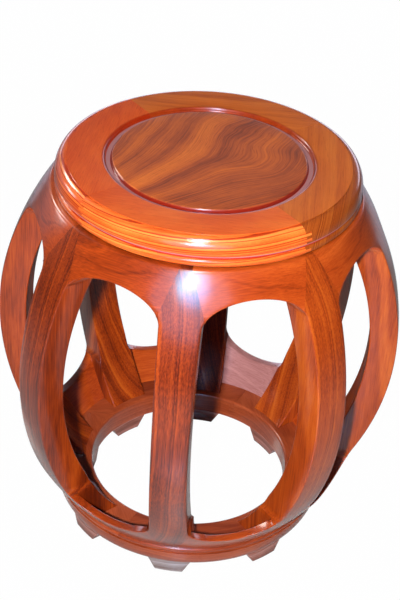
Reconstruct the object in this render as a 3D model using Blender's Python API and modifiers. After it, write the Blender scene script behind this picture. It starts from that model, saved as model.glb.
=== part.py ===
"""Drum stool: eight bowed legs and sixteen aprons between a round seat frame and a base ring.

The legs and aprons lie on one barrel surface. Pointed leg tops and feet are let in between the
aprons, the seat frame and the base ring are four finger-jointed segments each, a round panel
floats in the frame's groove over two battens, and a foot block stands under every leg.
Lengths are in metres, Z is up, the stool stands on z = 0 and one leg is centred on -Y.
Azimuth is measured from -Y towards +X. Outlines are (sideways, up), sections (radius, height).
"""
import math

import bmesh
import bpy
from mathutils import Matrix

for leftover in list(bpy.data.objects):
    bpy.data.objects.remove(leftover, do_unlink=True)

# Counts and steps
LEG_COUNT = 8
SEGMENT_COUNT = 4
TURN_STEPS = 64
LEG_STEPS = 18
APRON_STEPS = 5
ARCH_STEPS = 6
WAIST_STEPS = 6
ROUND_STEPS = 4

# Fits and working values
FIT_GAP = 0.0003
CUT_OVERRUN = 0.004
MERGE_DISTANCE = 0.000005
SHARP_ANGLE = math.radians(30)

# Heights of the whole stool
SEAT_HEIGHT = 0.460
FRAME_THICKNESS = 0.031
RING_THICKNESS = 0.0262
FOOT_HEIGHT = 0.0175

# Barrel surface that the outer faces of the legs and aprons follow
SHOULDER_RADIUS = 0.167
BELLY_RADIUS = 0.2268
BELLY_RISE = 0.0035
ANKLE_RADIUS = 0.160

# Legs
LEG_DEPTH = 0.031
LEG_SPRING_WIDTH = 0.0424
LEG_WAIST_INSET = 0.00185
LEG_FLARE = 0.003
LEG_TIP_WIDTH = 0.0124
LEG_JOINT_LAND = 0.0004
LEG_HEEL_ROUND = 0.0085
LEG_TENON_WIDTH = 0.024
TOP_TENON_DEPTH = 0.012
TOP_TENON_SHARE = 0.5
BOTTOM_TENON_DEPTH = 0.008
BOTTOM_TENON_SHARE = 0.5

# Aprons and the arched ends of the windows between the legs
UPPER_APRON_THICKNESS = 0.012
LOWER_APRON_THICKNESS = 0.009
UPPER_CROWN_WIDTH = 0.0257
LOWER_CROWN_WIDTH = 0.0317
ARCH_RISE = 0.028

# Seat frame
FRAME_SETBACK = 0.0034
FRAME_OVOLO_WIDTH = 0.0128
FRAME_OVOLO_HEIGHT = 0.0185
FRAME_FLAT_WIDTH = 0.0396
FRAME_QUIRK_WIDTH = 0.0029
FRAME_QUIRK_HEIGHT = 0.004
FRAME_BEAD_WIDTH = 0.0026
FRAME_INNER_ROUND = 0.0018
FRAME_FINGER_DROP = 0.007
FRAME_FINGER_COUNT = 4
FINGER_LENGTH = 0.007

# Seat panel, the groove it floats in, and its battens
GROOVE_DEPTH = 0.0068
GROOVE_DROP = 0.0047
PANEL_MARGIN = 0.0074
PANEL_FIELD_DROP = 0.001
PANEL_FIELD_ROUND = 0.002
PANEL_TONGUE_THICKNESS = 0.0056
PANEL_TONGUE_PLAY = 0.0012
BATTEN_SPREAD = 0.090
BATTEN_WIDTH = 0.022
BATTEN_HEIGHT = 0.0142
BATTEN_TENON_HEIGHT = 0.008
BATTEN_TENON_LENGTH = 0.007

# Base ring
RING_SETBACK = 0.002
RING_BEAD_WIDTH = 0.0032
RING_BEAD_HEIGHT = 0.0065
RING_QUIRK_HEIGHT = 0.002
RING_OVOLO_SWELL = 0.0026
RING_SOLE_TAPER = 0.0059
RING_WIDTH = 0.0404
RING_INNER_ROUND = 0.003
RING_FINGER_DROP = 0.006
RING_FINGER_COUNT = 3

# Foot blocks
FOOT_TOP_WIDTH = 0.051
FOOT_SOLE_WIDTH = 0.032
FOOT_INSET = 0.0005
FOOT_TENON_WIDTH = 0.016
FOOT_TENON_DEPTH = 0.012
FOOT_TENON_SHARE = 0.3

# What follows from the sizes above
LEG_PITCH = math.tau / LEG_COUNT
SEGMENT_PITCH = math.tau / SEGMENT_COUNT
LEGS_PER_SEGMENT = LEG_COUNT // SEGMENT_COUNT
FRAME_BOTTOM = SEAT_HEIGHT - FRAME_THICKNESS
RING_BOTTOM = FOOT_HEIGHT + FIT_GAP
RING_TOP = RING_BOTTOM + RING_THICKNESS
LEG_TOP = FRAME_BOTTOM - FIT_GAP
LEG_BOTTOM = RING_TOP + FIT_GAP
BELLY_HEIGHT = (LEG_TOP + LEG_BOTTOM) / 2 + BELLY_RISE
PITCH_REACH = BELLY_RADIUS * math.sin(LEG_PITCH / 2)
WINDOW_TOP = LEG_TOP - UPPER_CROWN_WIDTH
WINDOW_BOTTOM = LEG_BOTTOM + LOWER_CROWN_WIDTH
SPRING_TOP = WINDOW_TOP - ARCH_RISE
SPRING_BOTTOM = WINDOW_BOTTOM + ARCH_RISE
LEG_CORE_HALF = LEG_SPRING_WIDTH / 2 + LEG_FLARE
FRAME_EDGE_RADIUS = SHOULDER_RADIUS - FRAME_SETBACK
FRAME_FLAT_RADIUS = FRAME_EDGE_RADIUS - FRAME_OVOLO_WIDTH
FRAME_INNER_RADIUS = FRAME_FLAT_RADIUS - FRAME_FLAT_WIDTH
GROOVE_RADIUS = FRAME_INNER_RADIUS + GROOVE_DEPTH
GROOVE_TOP = SEAT_HEIGHT - GROOVE_DROP
TONGUE_TOP = GROOVE_TOP - FIT_GAP
TONGUE_BOTTOM = TONGUE_TOP - PANEL_TONGUE_THICKNESS
GROOVE_BOTTOM = TONGUE_BOTTOM - FIT_GAP
PANEL_FIELD_RADIUS = FRAME_INNER_RADIUS - PANEL_MARGIN
BATTEN_MIDDLE = GROOVE_BOTTOM - BATTEN_HEIGHT / 2
RING_BEAD_RADIUS = ANKLE_RADIUS - RING_SETBACK
RING_OVOLO_RADIUS = RING_BEAD_RADIUS + RING_OVOLO_SWELL
RING_SOLE_RADIUS = RING_OVOLO_RADIUS - RING_SOLE_TAPER
RING_HOLE_RADIUS = RING_BEAD_RADIUS - RING_WIDTH
FOOT_TENON_LENGTH = RING_THICKNESS * FOOT_TENON_SHARE
TOP_TENON_LENGTH = FRAME_THICKNESS * TOP_TENON_SHARE
BOTTOM_TENON_LENGTH = RING_THICKNESS * BOTTOM_TENON_SHARE


def make_collection(name):
    """Return a new collection linked under the scene."""
    collection = bpy.data.collections.new(name)
    bpy.context.scene.collection.children.link(collection)
    return collection


STOOL = make_collection("drum_stool")
CUTTERS = make_collection("cutters")


def wood(name, colour, roughness):
    """Return a lacquered wood material."""
    material = bpy.data.materials.new(name)
    material.use_nodes = True
    shader = material.node_tree.nodes["Principled BSDF"]
    shader.inputs["Base Color"].default_value = (*colour, 1.0)
    shader.inputs["Roughness"].default_value = roughness
    shader.inputs["Metallic"].default_value = 0.0
    return material


def circle_through(first, second, third):
    """Return centre x, centre y and radius of the circle through three points."""
    (ax, ay), (bx, by), (cx, cy) = first, second, third
    double_area = 2 * (ax * (by - cy) + bx * (cy - ay) + cx * (ay - by))
    a_square = ax * ax + ay * ay
    b_square = bx * bx + by * by
    c_square = cx * cx + cy * cy
    x = (a_square * (by - cy) + b_square * (cy - ay) + c_square * (ay - by)) / double_area
    y = (a_square * (cx - bx) + b_square * (ax - cx) + c_square * (bx - ax)) / double_area
    return x, y, math.hypot(ax - x, ay - y)


BARREL_CENTRE, BARREL_MIDDLE, BARREL_CURVE = circle_through(
    (SHOULDER_RADIUS, LEG_TOP), (BELLY_RADIUS, BELLY_HEIGHT), (ANKLE_RADIUS, LEG_BOTTOM)
)


def barrel_radius(height, depth=0.0):
    """Distance from the axis to the barrel surface, or to a surface sunk by depth below it."""
    rise = height - BARREL_MIDDLE
    return BARREL_CENTRE + math.sqrt((BARREL_CURVE - depth) ** 2 - rise * rise)


def spread(start, end, steps):
    """Return steps + 1 even values from start to end."""
    return [start + (end - start) * i / steps for i in range(steps + 1)]


def arc(centre, half_width, half_height, start, end, steps):
    """Points along an elliptic arc, from one angle to another."""
    return [
        (centre[0] + half_width * math.cos(angle), centre[1] + half_height * math.sin(angle))
        for angle in spread(start, end, steps)
    ]


def mirrored(points):
    """Close a right-hand outline with its own mirror image."""
    return points + [(-x, y) for x, y in reversed(points)]


def leg_half_width(height):
    """Half width of a leg between the springing heights, where it is waisted."""
    middle = (SPRING_TOP + SPRING_BOTTOM) / 2
    share = (height - middle) / (SPRING_TOP - middle)
    return LEG_SPRING_WIDTH / 2 - LEG_WAIST_INSET * (1 - share * share)


def arch_points(spring, crown):
    """Half of a window's arched end, from springing to crown, as (half angle, height)."""
    widest = LEG_PITCH / 2 - math.asin(leg_half_width(spring) / barrel_radius(spring))
    return [
        (widest * math.cos(angle), spring + (crown - spring) * math.sin(angle))
        for angle in spread(0, math.pi / 2, ARCH_STEPS)
    ]


def flare_points(spring, crown):
    """Edge of a leg along the arch, as (half width, height), out to the core's half width."""
    points = [(LEG_SPRING_WIDTH / 2, spring)]
    for half_angle, height in arch_points(spring, crown)[1:]:
        half = barrel_radius(height) * math.sin(LEG_PITCH / 2 - half_angle)
        last_half, last_height = points[-1]
        if half >= LEG_CORE_HALF:
            share = (LEG_CORE_HALF - last_half) / (half - last_half)
            points.append((LEG_CORE_HALF, last_height + share * (height - last_height)))
            break
        points.append((half, height))
    return points


def joint_line(spring, crown, end):
    """Line where an apron meets a leg's pointed end, from a small land past the flare to the tip."""
    half, height = flare_points(spring, crown)[-1]
    land = math.copysign(LEG_JOINT_LAND, end - spring)
    return (half, height + land), (LEG_TIP_WIDTH / 2, end)


UPPER_JOINT = joint_line(SPRING_TOP, WINDOW_TOP, LEG_TOP)
LOWER_JOINT = joint_line(SPRING_BOTTOM, WINDOW_BOTTOM, LEG_BOTTOM)


def mark_cutter(item):
    """Keep a working shape out of the finished stool."""
    item.display_type = "WIRE"
    item.hide_render = True


def baked(item):
    """Return the evaluated mesh of an object in world space, with its doubles merged."""
    bpy.context.view_layer.update()
    graph = bpy.context.evaluated_depsgraph_get()
    mesh = bpy.data.meshes.new_from_object(item.evaluated_get(graph), depsgraph=graph)
    mesh.transform(item.matrix_world)
    work = bmesh.new()
    work.from_mesh(mesh)
    bmesh.ops.remove_doubles(work, verts=work.verts, dist=MERGE_DISTANCE)
    work.to_mesh(mesh)
    work.free()
    return mesh


def swap_for_baked(item):
    """Swap an object for its own evaluated mesh at the origin, as a working shape."""
    name = item.name
    mesh = baked(item)
    bpy.data.objects.remove(item, do_unlink=True)
    swapped = bpy.data.objects.new(name, mesh)
    CUTTERS.objects.link(swapped)
    mark_cutter(swapped)
    return swapped


def prism(name, outline, near, far, azimuth=0.0):
    """Carry an outline outwards between two distances from the axis, facing an azimuth."""
    curve = bpy.data.curves.new(name, "CURVE")
    curve.dimensions = "2D"
    curve.fill_mode = "BOTH"
    curve.extrude = (far - near) / 2
    spline = curve.splines.new("POLY")
    spline.points.add(len(outline) - 1)
    for point, (sideways, up) in zip(spline.points, outline):
        point.co = (sideways, up, 0.0, 1.0)
    spline.use_cyclic_u = True
    item = bpy.data.objects.new(name, curve)
    CUTTERS.objects.link(item)
    stand_up = Matrix.Rotation(math.pi / 2, 4, "X")
    carry_out = Matrix.Translation((0.0, -(near + far) / 2, 0.0))
    item.matrix_world = Matrix.Rotation(azimuth, 4, "Z") @ carry_out @ stand_up
    return swap_for_baked(item)


def turning(name, section, closed=True):
    """Turn a section round Z; it lists its outer side first, from top to bottom."""
    mesh = bpy.data.meshes.new(name)
    work = bmesh.new()
    corners = [work.verts.new((radius, 0.0, height)) for radius, height in section]
    for first, second in zip(corners, corners[1:]):
        work.edges.new((first, second))
    if closed:
        work.edges.new((corners[-1], corners[0]))
    work.to_mesh(mesh)
    work.free()
    item = bpy.data.objects.new(name, mesh)
    CUTTERS.objects.link(item)
    item.rotation_euler.z = math.pi / TURN_STEPS
    screw = item.modifiers.new("turn", "SCREW")
    screw.angle = math.tau
    screw.steps = TURN_STEPS
    screw.render_steps = TURN_STEPS
    screw.use_merge_vertices = True
    screw.merge_threshold = MERGE_DISTANCE
    return swap_for_baked(item)


def box(name, size, centre, azimuth=0.0):
    """Block of (sideways, outwards, up) size at (sideways, outwards, up), facing an azimuth."""
    mesh = bpy.data.meshes.new(name)
    work = bmesh.new()
    bmesh.ops.create_cube(work, size=1.0)
    bmesh.ops.scale(work, vec=size, verts=work.verts)
    bmesh.ops.translate(work, vec=(centre[0], -centre[1], centre[2]), verts=work.verts)
    turn = Matrix.Rotation(azimuth, 3, "Z")
    bmesh.ops.rotate(work, cent=(0.0, 0.0, 0.0), matrix=turn, verts=work.verts)
    work.to_mesh(mesh)
    work.free()
    item = bpy.data.objects.new(name, mesh)
    CUTTERS.objects.link(item)
    mark_cutter(item)
    return item


def combine(item, tool, operation):
    """Add an exact Boolean with one working shape."""
    modifier = item.modifiers.new(tool.name, "BOOLEAN")
    modifier.operation = operation
    modifier.object = tool
    modifier.solver = "EXACT"


def finished(item, name):
    """Return a working shape's mesh with its Booleans applied, and clear all working shapes."""
    mesh = baked(item)
    mesh.name = name
    mesh.shade_smooth()
    mesh.set_sharp_from_angle(angle=SHARP_ANGLE)
    for shape in list(CUTTERS.objects):
        bpy.data.objects.remove(shape, do_unlink=True)
    return mesh


def place(mesh, name, azimuth, material):
    """Put one copy of a finished mesh at an azimuth, as a named piece of the stool."""
    if not mesh.materials:
        mesh.materials.append(material)
    item = bpy.data.objects.new(name, mesh)
    item.rotation_euler.z = azimuth
    STOOL.objects.link(item)


def barrel_band(name, outer_depth, inner_depth, low, high):
    """Closed band of the barrel wall between two depths, with flat ends."""
    outer = [(barrel_radius(z, outer_depth), z) for z in spread(high, low, APRON_STEPS)]
    inner = [(barrel_radius(z, inner_depth), z) for z in spread(low, high, APRON_STEPS)]
    return turning(name, outer + inner)


def heel_section():
    """Rounded heel where a leg's inner face meets its flat foot."""
    up = LEG_BOTTOM + LEG_HEEL_ROUND
    reach = BARREL_CURVE - LEG_DEPTH + LEG_HEEL_ROUND
    out = BARREL_CENTRE + math.sqrt(reach ** 2 - (up - BARREL_MIDDLE) ** 2)
    slope = math.atan2(up - BARREL_MIDDLE, out - BARREL_CENTRE)
    return arc((out, up), LEG_HEEL_ROUND, LEG_HEEL_ROUND,
               -math.pi / 2, slope - math.pi, ROUND_STEPS)


def leg_section():
    """Section of the turned wall from which the legs are sawn."""
    heel = heel_section()
    outer = [(barrel_radius(z), z) for z in spread(LEG_TOP, LEG_BOTTOM, LEG_STEPS)]
    inner = [(barrel_radius(z, LEG_DEPTH), z) for z in spread(heel[-1][1], LEG_TOP, LEG_STEPS)]
    return outer + heel + inner[1:]


def leg_outline():
    """Front outline of a leg: core width at both ends, flares and a waisted middle."""
    foot = [(LEG_CORE_HALF, LEG_BOTTOM - CUT_OVERRUN)]
    lower_flare = flare_points(SPRING_BOTTOM, WINDOW_BOTTOM)[:0:-1]
    sides = [(leg_half_width(z), z) for z in spread(SPRING_BOTTOM, SPRING_TOP, WAIST_STEPS)]
    upper_flare = flare_points(SPRING_TOP, WINDOW_TOP)[1:]
    head = [(LEG_CORE_HALF, LEG_TOP + CUT_OVERRUN)]
    return mirrored(foot + lower_flare + sides + upper_flare + head)


def extended(line):
    """Lengthen a joint line past both its ends."""
    (x0, y0), (x1, y1) = line
    length = math.hypot(x1 - x0, y1 - y0)
    dx = (x1 - x0) / length * CUT_OVERRUN
    dy = (y1 - y0) / length * CUT_OVERRUN
    return (x0 - dx, y0 - dy), (x1 + dx, y1 + dy)


def cut_shoulders(item, line, thickness):
    """Recess a leg's outer face on both sides of its pointed end for the aprons."""
    start, end = extended(line)
    low, high = sorted((start[1], end[1]))
    outline = [start, end, (2 * LEG_CORE_HALF, end[1]), (2 * LEG_CORE_HALF, start[1])]
    near = min(barrel_radius(low), barrel_radius(high)) - 2 * LEG_DEPTH
    for sign in (-1, 1):
        points = [(sign * x, y) for x, y in outline]
        recess = prism("shoulder", points, near, BELLY_RADIUS + CUT_OVERRUN)
        band = barrel_band("shoulder_band", -CUT_OVERRUN, thickness + FIT_GAP,
                           low - CUT_OVERRUN, high + CUT_OVERRUN)
        combine(recess, band, "INTERSECT")
        combine(item, recess, "DIFFERENCE")


def top_tenon(name, clearance, azimuth=0.0):
    """Tenon on a leg's head, or with a clearance its mortise in the seat frame."""
    radius = (barrel_radius(LEG_TOP, LEG_DEPTH) + barrel_radius(LEG_TOP, UPPER_APRON_THICKNESS)) / 2
    height = TOP_TENON_LENGTH + clearance + CUT_OVERRUN
    size = (LEG_TENON_WIDTH + 2 * clearance, TOP_TENON_DEPTH + 2 * clearance, height)
    return box(name, size, (0.0, radius, LEG_TOP - CUT_OVERRUN + height / 2), azimuth)


def bottom_tenon(name, clearance, azimuth=0.0):
    """Tenon under a leg's foot, or with a clearance its mortise in the base ring."""
    radius = (heel_section()[0][0] + barrel_radius(LEG_BOTTOM, LOWER_APRON_THICKNESS)) / 2
    height = BOTTOM_TENON_LENGTH + clearance + CUT_OVERRUN
    size = (LEG_TENON_WIDTH + 2 * clearance, BOTTOM_TENON_DEPTH + 2 * clearance, height)
    return box(name, size, (0.0, radius, LEG_BOTTOM + CUT_OVERRUN - height / 2), azimuth)


def leg_mesh():
    """One leg on -Y, with its shoulders, tenons and rounded heel."""
    item = turning("leg_wall", leg_section())
    near = barrel_radius(LEG_TOP) - 2 * LEG_DEPTH
    outline = prism("leg_outline", leg_outline(), near, BELLY_RADIUS + CUT_OVERRUN)
    combine(item, outline, "INTERSECT")
    cut_shoulders(item, UPPER_JOINT, UPPER_APRON_THICKNESS)
    cut_shoulders(item, LOWER_JOINT, LOWER_APRON_THICKNESS)
    combine(item, top_tenon("top_tenon", 0.0), "UNION")
    combine(item, bottom_tenon("bottom_tenon", 0.0), "UNION")
    return finished(item, "leg")


def apron_outline(spring, crown, end):
    """Front outline of an apron: straight at the frame or ring, arched at the window."""
    arch = [(barrel_radius(z) * math.sin(angle), z) for angle, z in arch_points(spring, crown)]
    crown_point = arch.pop()
    right = [(PITCH_REACH, end), (PITCH_REACH, spring)] + arch
    return right + [crown_point] + [(-x, y) for x, y in reversed(right)]


def apron_end_outline(line, spring, side):
    """Front outline of what is cut off an apron's end: the leg's point with its gap, and all past it."""
    (x0, y0), (x1, y1) = line
    widen = FIT_GAP * math.hypot(x1 - x0, y1 - y0) / abs(y1 - y0)
    start, end = extended(line)
    base = spring - math.copysign(CUT_OVERRUN, y1 - y0)
    edge = [(start[0] + widen, base), (start[0] + widen, start[1]), (end[0] + widen, end[1])]
    past = [(-PITCH_REACH, end[1]), (-PITCH_REACH, base)]
    return [(-side * x, y) for x, y in edge + past]


def apron_mesh(name, line, spring, crown, end, thickness):
    """One apron centred between two legs, its ends cut to their pointed ends."""
    low, high = sorted((spring, end))
    item = barrel_band(name, 0.0, thickness, low - CUT_OVERRUN, high + CUT_OVERRUN)
    near = barrel_radius(end) * math.cos(LEG_PITCH / 2) - LEG_DEPTH
    far = BELLY_RADIUS + CUT_OVERRUN
    combine(item, prism("apron_outline", apron_outline(spring, crown, end), near, far), "INTERSECT")
    for side in (-1, 1):
        outline = apron_end_outline(line, spring, side)
        combine(item, prism("apron_end", outline, near, far, side * LEG_PITCH / 2), "DIFFERENCE")
    return finished(item, name)


def frame_section():
    """Section of the seat frame: flat top, ovolo, quirk, bead, and the panel's groove inside."""
    ovolo_low = SEAT_HEIGHT - FRAME_OVOLO_HEIGHT
    ovolo = arc((FRAME_FLAT_RADIUS, ovolo_low), FRAME_OVOLO_WIDTH, FRAME_OVOLO_HEIGHT,
                math.pi / 2, 0, ROUND_STEPS + 1)
    throat = FRAME_EDGE_RADIUS - FRAME_QUIRK_WIDTH
    bead_half = (ovolo_low - FRAME_QUIRK_HEIGHT - FRAME_BOTTOM) / 2
    bead = arc((throat, FRAME_BOTTOM + bead_half), FRAME_BEAD_WIDTH, bead_half,
               math.pi / 2, -math.pi / 2, ROUND_STEPS)
    inside = [
        (FRAME_INNER_RADIUS, FRAME_BOTTOM),
        (FRAME_INNER_RADIUS, GROOVE_BOTTOM),
        (GROOVE_RADIUS, GROOVE_BOTTOM),
        (GROOVE_RADIUS, GROOVE_TOP),
        (FRAME_INNER_RADIUS, GROOVE_TOP),
    ]
    lip = arc((FRAME_INNER_RADIUS + FRAME_INNER_ROUND, SEAT_HEIGHT - FRAME_INNER_ROUND),
              FRAME_INNER_ROUND, FRAME_INNER_ROUND, math.pi, math.pi / 2, ROUND_STEPS // 2)
    return ovolo + [(throat, ovolo_low)] + bead + inside + lip


def ring_section():
    """Section of the base ring: bead, quirk and ovolo outside, a plain hole inside."""
    bead_half = RING_BEAD_HEIGHT / 2
    bead = arc((RING_BEAD_RADIUS, RING_TOP - bead_half), RING_BEAD_WIDTH, bead_half,
               math.pi / 2, -math.pi / 2, ROUND_STEPS)
    ovolo_top = RING_TOP - RING_BEAD_HEIGHT - RING_QUIRK_HEIGHT
    ovolo = arc((RING_SOLE_RADIUS, ovolo_top), RING_SOLE_TAPER, ovolo_top - RING_BOTTOM,
                0, -math.pi / 2, ROUND_STEPS)
    lip = arc((RING_HOLE_RADIUS + RING_INNER_ROUND, RING_TOP - RING_INNER_ROUND),
              RING_INNER_ROUND, RING_INNER_ROUND, math.pi, math.pi / 2, ROUND_STEPS // 2)
    return bead + [(RING_BEAD_RADIUS, ovolo_top)] + ovolo + [(RING_HOLE_RADIUS, RING_BOTTOM)] + lip


def finger_edge(fingers, low, high, reach, seat, growth):
    """Zigzag edge of a finger joint, from high to low."""
    points = [(seat, high)]
    for top, bottom in fingers:
        points += [(seat, top + growth), (reach, top + growth)]
        points += [(reach, bottom - growth), (seat, bottom - growth)]
    return points + [(seat, low)]


def finger_heights(top, bottom, drop, count):
    """Top and bottom of each finger, evenly spaced below a plain band as high as the drop."""
    pitch = (top - drop - bottom) / count
    return [(top - drop - i * pitch, top - drop - (i + 1 / 2) * pitch) for i in range(count)]


def segment_mesh(name, section, fingers, seats):
    """Quarter of a turned ring on -Y, with fingers at its right end and sockets at its left."""
    item = turning(name, section)
    low = min(height for radius, height in section) - CUT_OVERRUN
    high = max(height for radius, height in section) + CUT_OVERRUN
    far = max(radius for radius, height in section) + CUT_OVERRUN
    near = -FINGER_LENGTH - CUT_OVERRUN
    slack = FIT_GAP / 2
    tongues = finger_edge(fingers, low, high, FINGER_LENGTH, 0.0, -slack)
    right = prism("right_end", tongues + [(-far, low), (-far, high)], near, far, SEGMENT_PITCH / 2)
    sockets = finger_edge(fingers, low, high, FINGER_LENGTH + FIT_GAP, FIT_GAP, slack)
    left = prism("left_end", sockets + [(far, low), (far, high)], near, far, -SEGMENT_PITCH / 2)
    combine(item, right, "INTERSECT")
    combine(item, left, "INTERSECT")
    for seat in seats():
        combine(item, seat, "DIFFERENCE")
    return finished(item, name)


def leg_head_seats():
    """Mortises for leg heads in a frame segment: one in the middle and half of one at each end."""
    angles = spread(-SEGMENT_PITCH / 2, SEGMENT_PITCH / 2, LEGS_PER_SEGMENT)
    return [top_tenon("leg_seat", FIT_GAP, angle) for angle in angles]


def batten_seats():
    """Mortises for the two battens' tenons in a frame segment."""
    start = FRAME_INNER_RADIUS / 2
    length = batten_end() + FIT_GAP - start
    size = (BATTEN_WIDTH + 2 * FIT_GAP, length, BATTEN_TENON_HEIGHT + 2 * FIT_GAP)
    return [
        box("batten_seat", size, (side * BATTEN_SPREAD / 2, start + length / 2, BATTEN_MIDDLE))
        for side in (-1, 1)
    ]


def frame_seats_with_battens():
    """Mortises of a frame segment that also carries the battens."""
    return leg_head_seats() + batten_seats()


def ring_seats():
    """Mortises for the leg feet and the foot blocks in a base ring segment."""
    half = LEG_PITCH * (LEGS_PER_SEGMENT - 1) / 2
    seats = []
    for angle in spread(-half, half, LEGS_PER_SEGMENT - 1):
        seats.append(bottom_tenon("leg_seat", FIT_GAP, angle))
        seats.append(foot_tenon("foot_seat", FIT_GAP, angle))
    return seats


def foot_tenon(name, clearance, azimuth=0.0):
    """Stub tenon on a foot block, or with a clearance its mortise in the base ring."""
    radius = (RING_HOLE_RADIUS + RING_SOLE_RADIUS) / 2
    height = FOOT_TENON_LENGTH + clearance + CUT_OVERRUN
    size = (FOOT_TENON_WIDTH + 2 * clearance, FOOT_TENON_DEPTH + 2 * clearance, height)
    return box(name, size, (0.0, radius, FOOT_HEIGHT - CUT_OVERRUN + height / 2), azimuth)


def foot_mesh():
    """Foot block on -Y, wider at the ring than at the floor."""
    inner = RING_HOLE_RADIUS + FOOT_INSET
    outer = RING_SOLE_RADIUS - FOOT_INSET
    item = turning("foot_wall", [(outer, FOOT_HEIGHT), (outer, 0.0), (inner, 0.0),
                                 (inner, FOOT_HEIGHT)])
    slope = (FOOT_TOP_WIDTH - FOOT_SOLE_WIDTH) / 2 / FOOT_HEIGHT * CUT_OVERRUN
    outline = mirrored([
        (FOOT_SOLE_WIDTH / 2 - slope, -CUT_OVERRUN),
        (FOOT_TOP_WIDTH / 2 + slope, FOOT_HEIGHT + CUT_OVERRUN),
    ])
    face = prism("foot_outline", outline, inner - FOOT_TOP_WIDTH, outer + CUT_OVERRUN)
    combine(item, face, "INTERSECT")
    combine(item, foot_tenon("foot_tenon", 0.0), "UNION")
    return finished(item, "foot")


def panel_mesh():
    """Round seat panel: a field with a rounded edge, and the tongue that floats in the frame."""
    top = SEAT_HEIGHT - PANEL_FIELD_DROP
    edge = arc((PANEL_FIELD_RADIUS - PANEL_FIELD_ROUND, top - PANEL_FIELD_ROUND),
               PANEL_FIELD_ROUND, PANEL_FIELD_ROUND, math.pi / 2, 0, ROUND_STEPS // 2)
    tongue_radius = GROOVE_RADIUS - PANEL_TONGUE_PLAY
    section = [(0.0, top)] + edge + [
        (PANEL_FIELD_RADIUS, TONGUE_TOP),
        (tongue_radius, TONGUE_TOP),
        (tongue_radius, TONGUE_BOTTOM),
        (0.0, TONGUE_BOTTOM),
    ]
    return finished(turning("seat_panel", section, closed=False), "seat_panel")


def batten_end():
    """Distance along Y from the middle of the stool to the end of a batten's tenon."""
    inner_side = (BATTEN_SPREAD - BATTEN_WIDTH) / 2
    return math.sqrt(FRAME_INNER_RADIUS ** 2 - inner_side ** 2) + BATTEN_TENON_LENGTH


def batten_mesh():
    """Right-hand batten along Y, its shoulders coped to the round frame."""
    place_at = (BATTEN_SPREAD / 2, 0.0, BATTEN_MIDDLE)
    item = box("batten", (BATTEN_WIDTH, 2 * FRAME_INNER_RADIUS, BATTEN_HEIGHT), place_at)
    reach = FRAME_INNER_RADIUS - FIT_GAP
    section = [(0.0, SEAT_HEIGHT), (reach, SEAT_HEIGHT), (reach, FRAME_BOTTOM), (0.0, FRAME_BOTTOM)]
    combine(item, turning("frame_inside", section, closed=False), "INTERSECT")
    tenon = box("batten_tenon", (BATTEN_WIDTH, 2 * batten_end(), BATTEN_TENON_HEIGHT), place_at)
    combine(item, tenon, "UNION")
    return finished(item, "panel_batten")


def build_seat():
    """Seat frame of four segments, the floating panel and its battens."""
    frame_wood = wood("frame_wood", (0.46, 0.13, 0.035), 0.28)
    panel_wood = wood("panel_wood", (0.34, 0.09, 0.035), 0.25)
    batten_wood = wood("batten_wood", (0.30, 0.09, 0.035), 0.5)
    fingers = finger_heights(SEAT_HEIGHT, FRAME_BOTTOM, FRAME_FINGER_DROP, FRAME_FINGER_COUNT)
    seated = segment_mesh("frame_segment_for_battens", frame_section(), fingers,
                          frame_seats_with_battens)
    plain = segment_mesh("frame_segment", frame_section(), fingers, leg_head_seats)
    for index, side in enumerate(("front", "right", "back", "left")):
        place((seated, plain)[index % 2], f"seat_frame_{side}", index * SEGMENT_PITCH, frame_wood)
    place(panel_mesh(), "seat_panel", 0.0, panel_wood)
    batten = batten_mesh()
    place(batten, "panel_batten_right", 0.0, batten_wood)
    place(batten, "panel_batten_left", math.pi, batten_wood)


def build_sides():
    """Legs, upper aprons and lower aprons round the barrel."""
    leg_wood = wood("leg_wood", (0.36, 0.085, 0.03), 0.25)
    upper_wood = wood("upper_apron_wood", (0.48, 0.13, 0.035), 0.25)
    lower_wood = wood("lower_apron_wood", (0.40, 0.11, 0.035), 0.3)
    leg = leg_mesh()
    upper = apron_mesh("upper_apron", UPPER_JOINT, SPRING_TOP, WINDOW_TOP, LEG_TOP,
                       UPPER_APRON_THICKNESS)
    lower = apron_mesh("lower_apron", LOWER_JOINT, SPRING_BOTTOM, WINDOW_BOTTOM, LEG_BOTTOM,
                       LOWER_APRON_THICKNESS)
    for index in range(LEG_COUNT):
        between = (index + 1 / 2) * LEG_PITCH
        place(leg, f"leg_{index + 1}", index * LEG_PITCH, leg_wood)
        place(upper, f"upper_apron_{index + 1}", between, upper_wood)
        place(lower, f"lower_apron_{index + 1}", between, lower_wood)


def build_base():
    """Base ring of four segments and the foot blocks under it."""
    ring_wood = wood("ring_wood", (0.38, 0.10, 0.035), 0.3)
    foot_wood = wood("foot_wood", (0.33, 0.10, 0.045), 0.4)
    fingers = finger_heights(RING_TOP, RING_BOTTOM, RING_FINGER_DROP, RING_FINGER_COUNT)
    segment = segment_mesh("ring_segment", ring_section(), fingers, ring_seats)
    for index in range(SEGMENT_COUNT):
        place(segment, f"base_ring_{index + 1}", index * SEGMENT_PITCH + LEG_PITCH / 2, ring_wood)
    foot = foot_mesh()
    for index in range(LEG_COUNT):
        place(foot, f"foot_{index + 1}", index * LEG_PITCH, foot_wood)


build_seat()
build_sides()
build_base()
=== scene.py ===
"""Drum stool: fine surfaces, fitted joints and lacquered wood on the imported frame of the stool.

Eight bowed legs and sixteen arched aprons lie on one barrel surface between a round seat frame
and a base ring. A figured panel floats in the frame, and a foot block stands under every leg.
Lengths are in metres, Z is up, and one leg is centred on -Y. Azimuth is measured from -Y towards
+X. A piece is shaped facing -Y and then turned to its azimuth, with its place in its mesh.
"""

import logging
import math
from collections.abc import Callable, Sequence
from dataclasses import dataclass, field, replace
from enum import Enum
from functools import cached_property
from typing import Any

import bmesh
import bpy
from mathutils import Matrix, Vector


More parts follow.
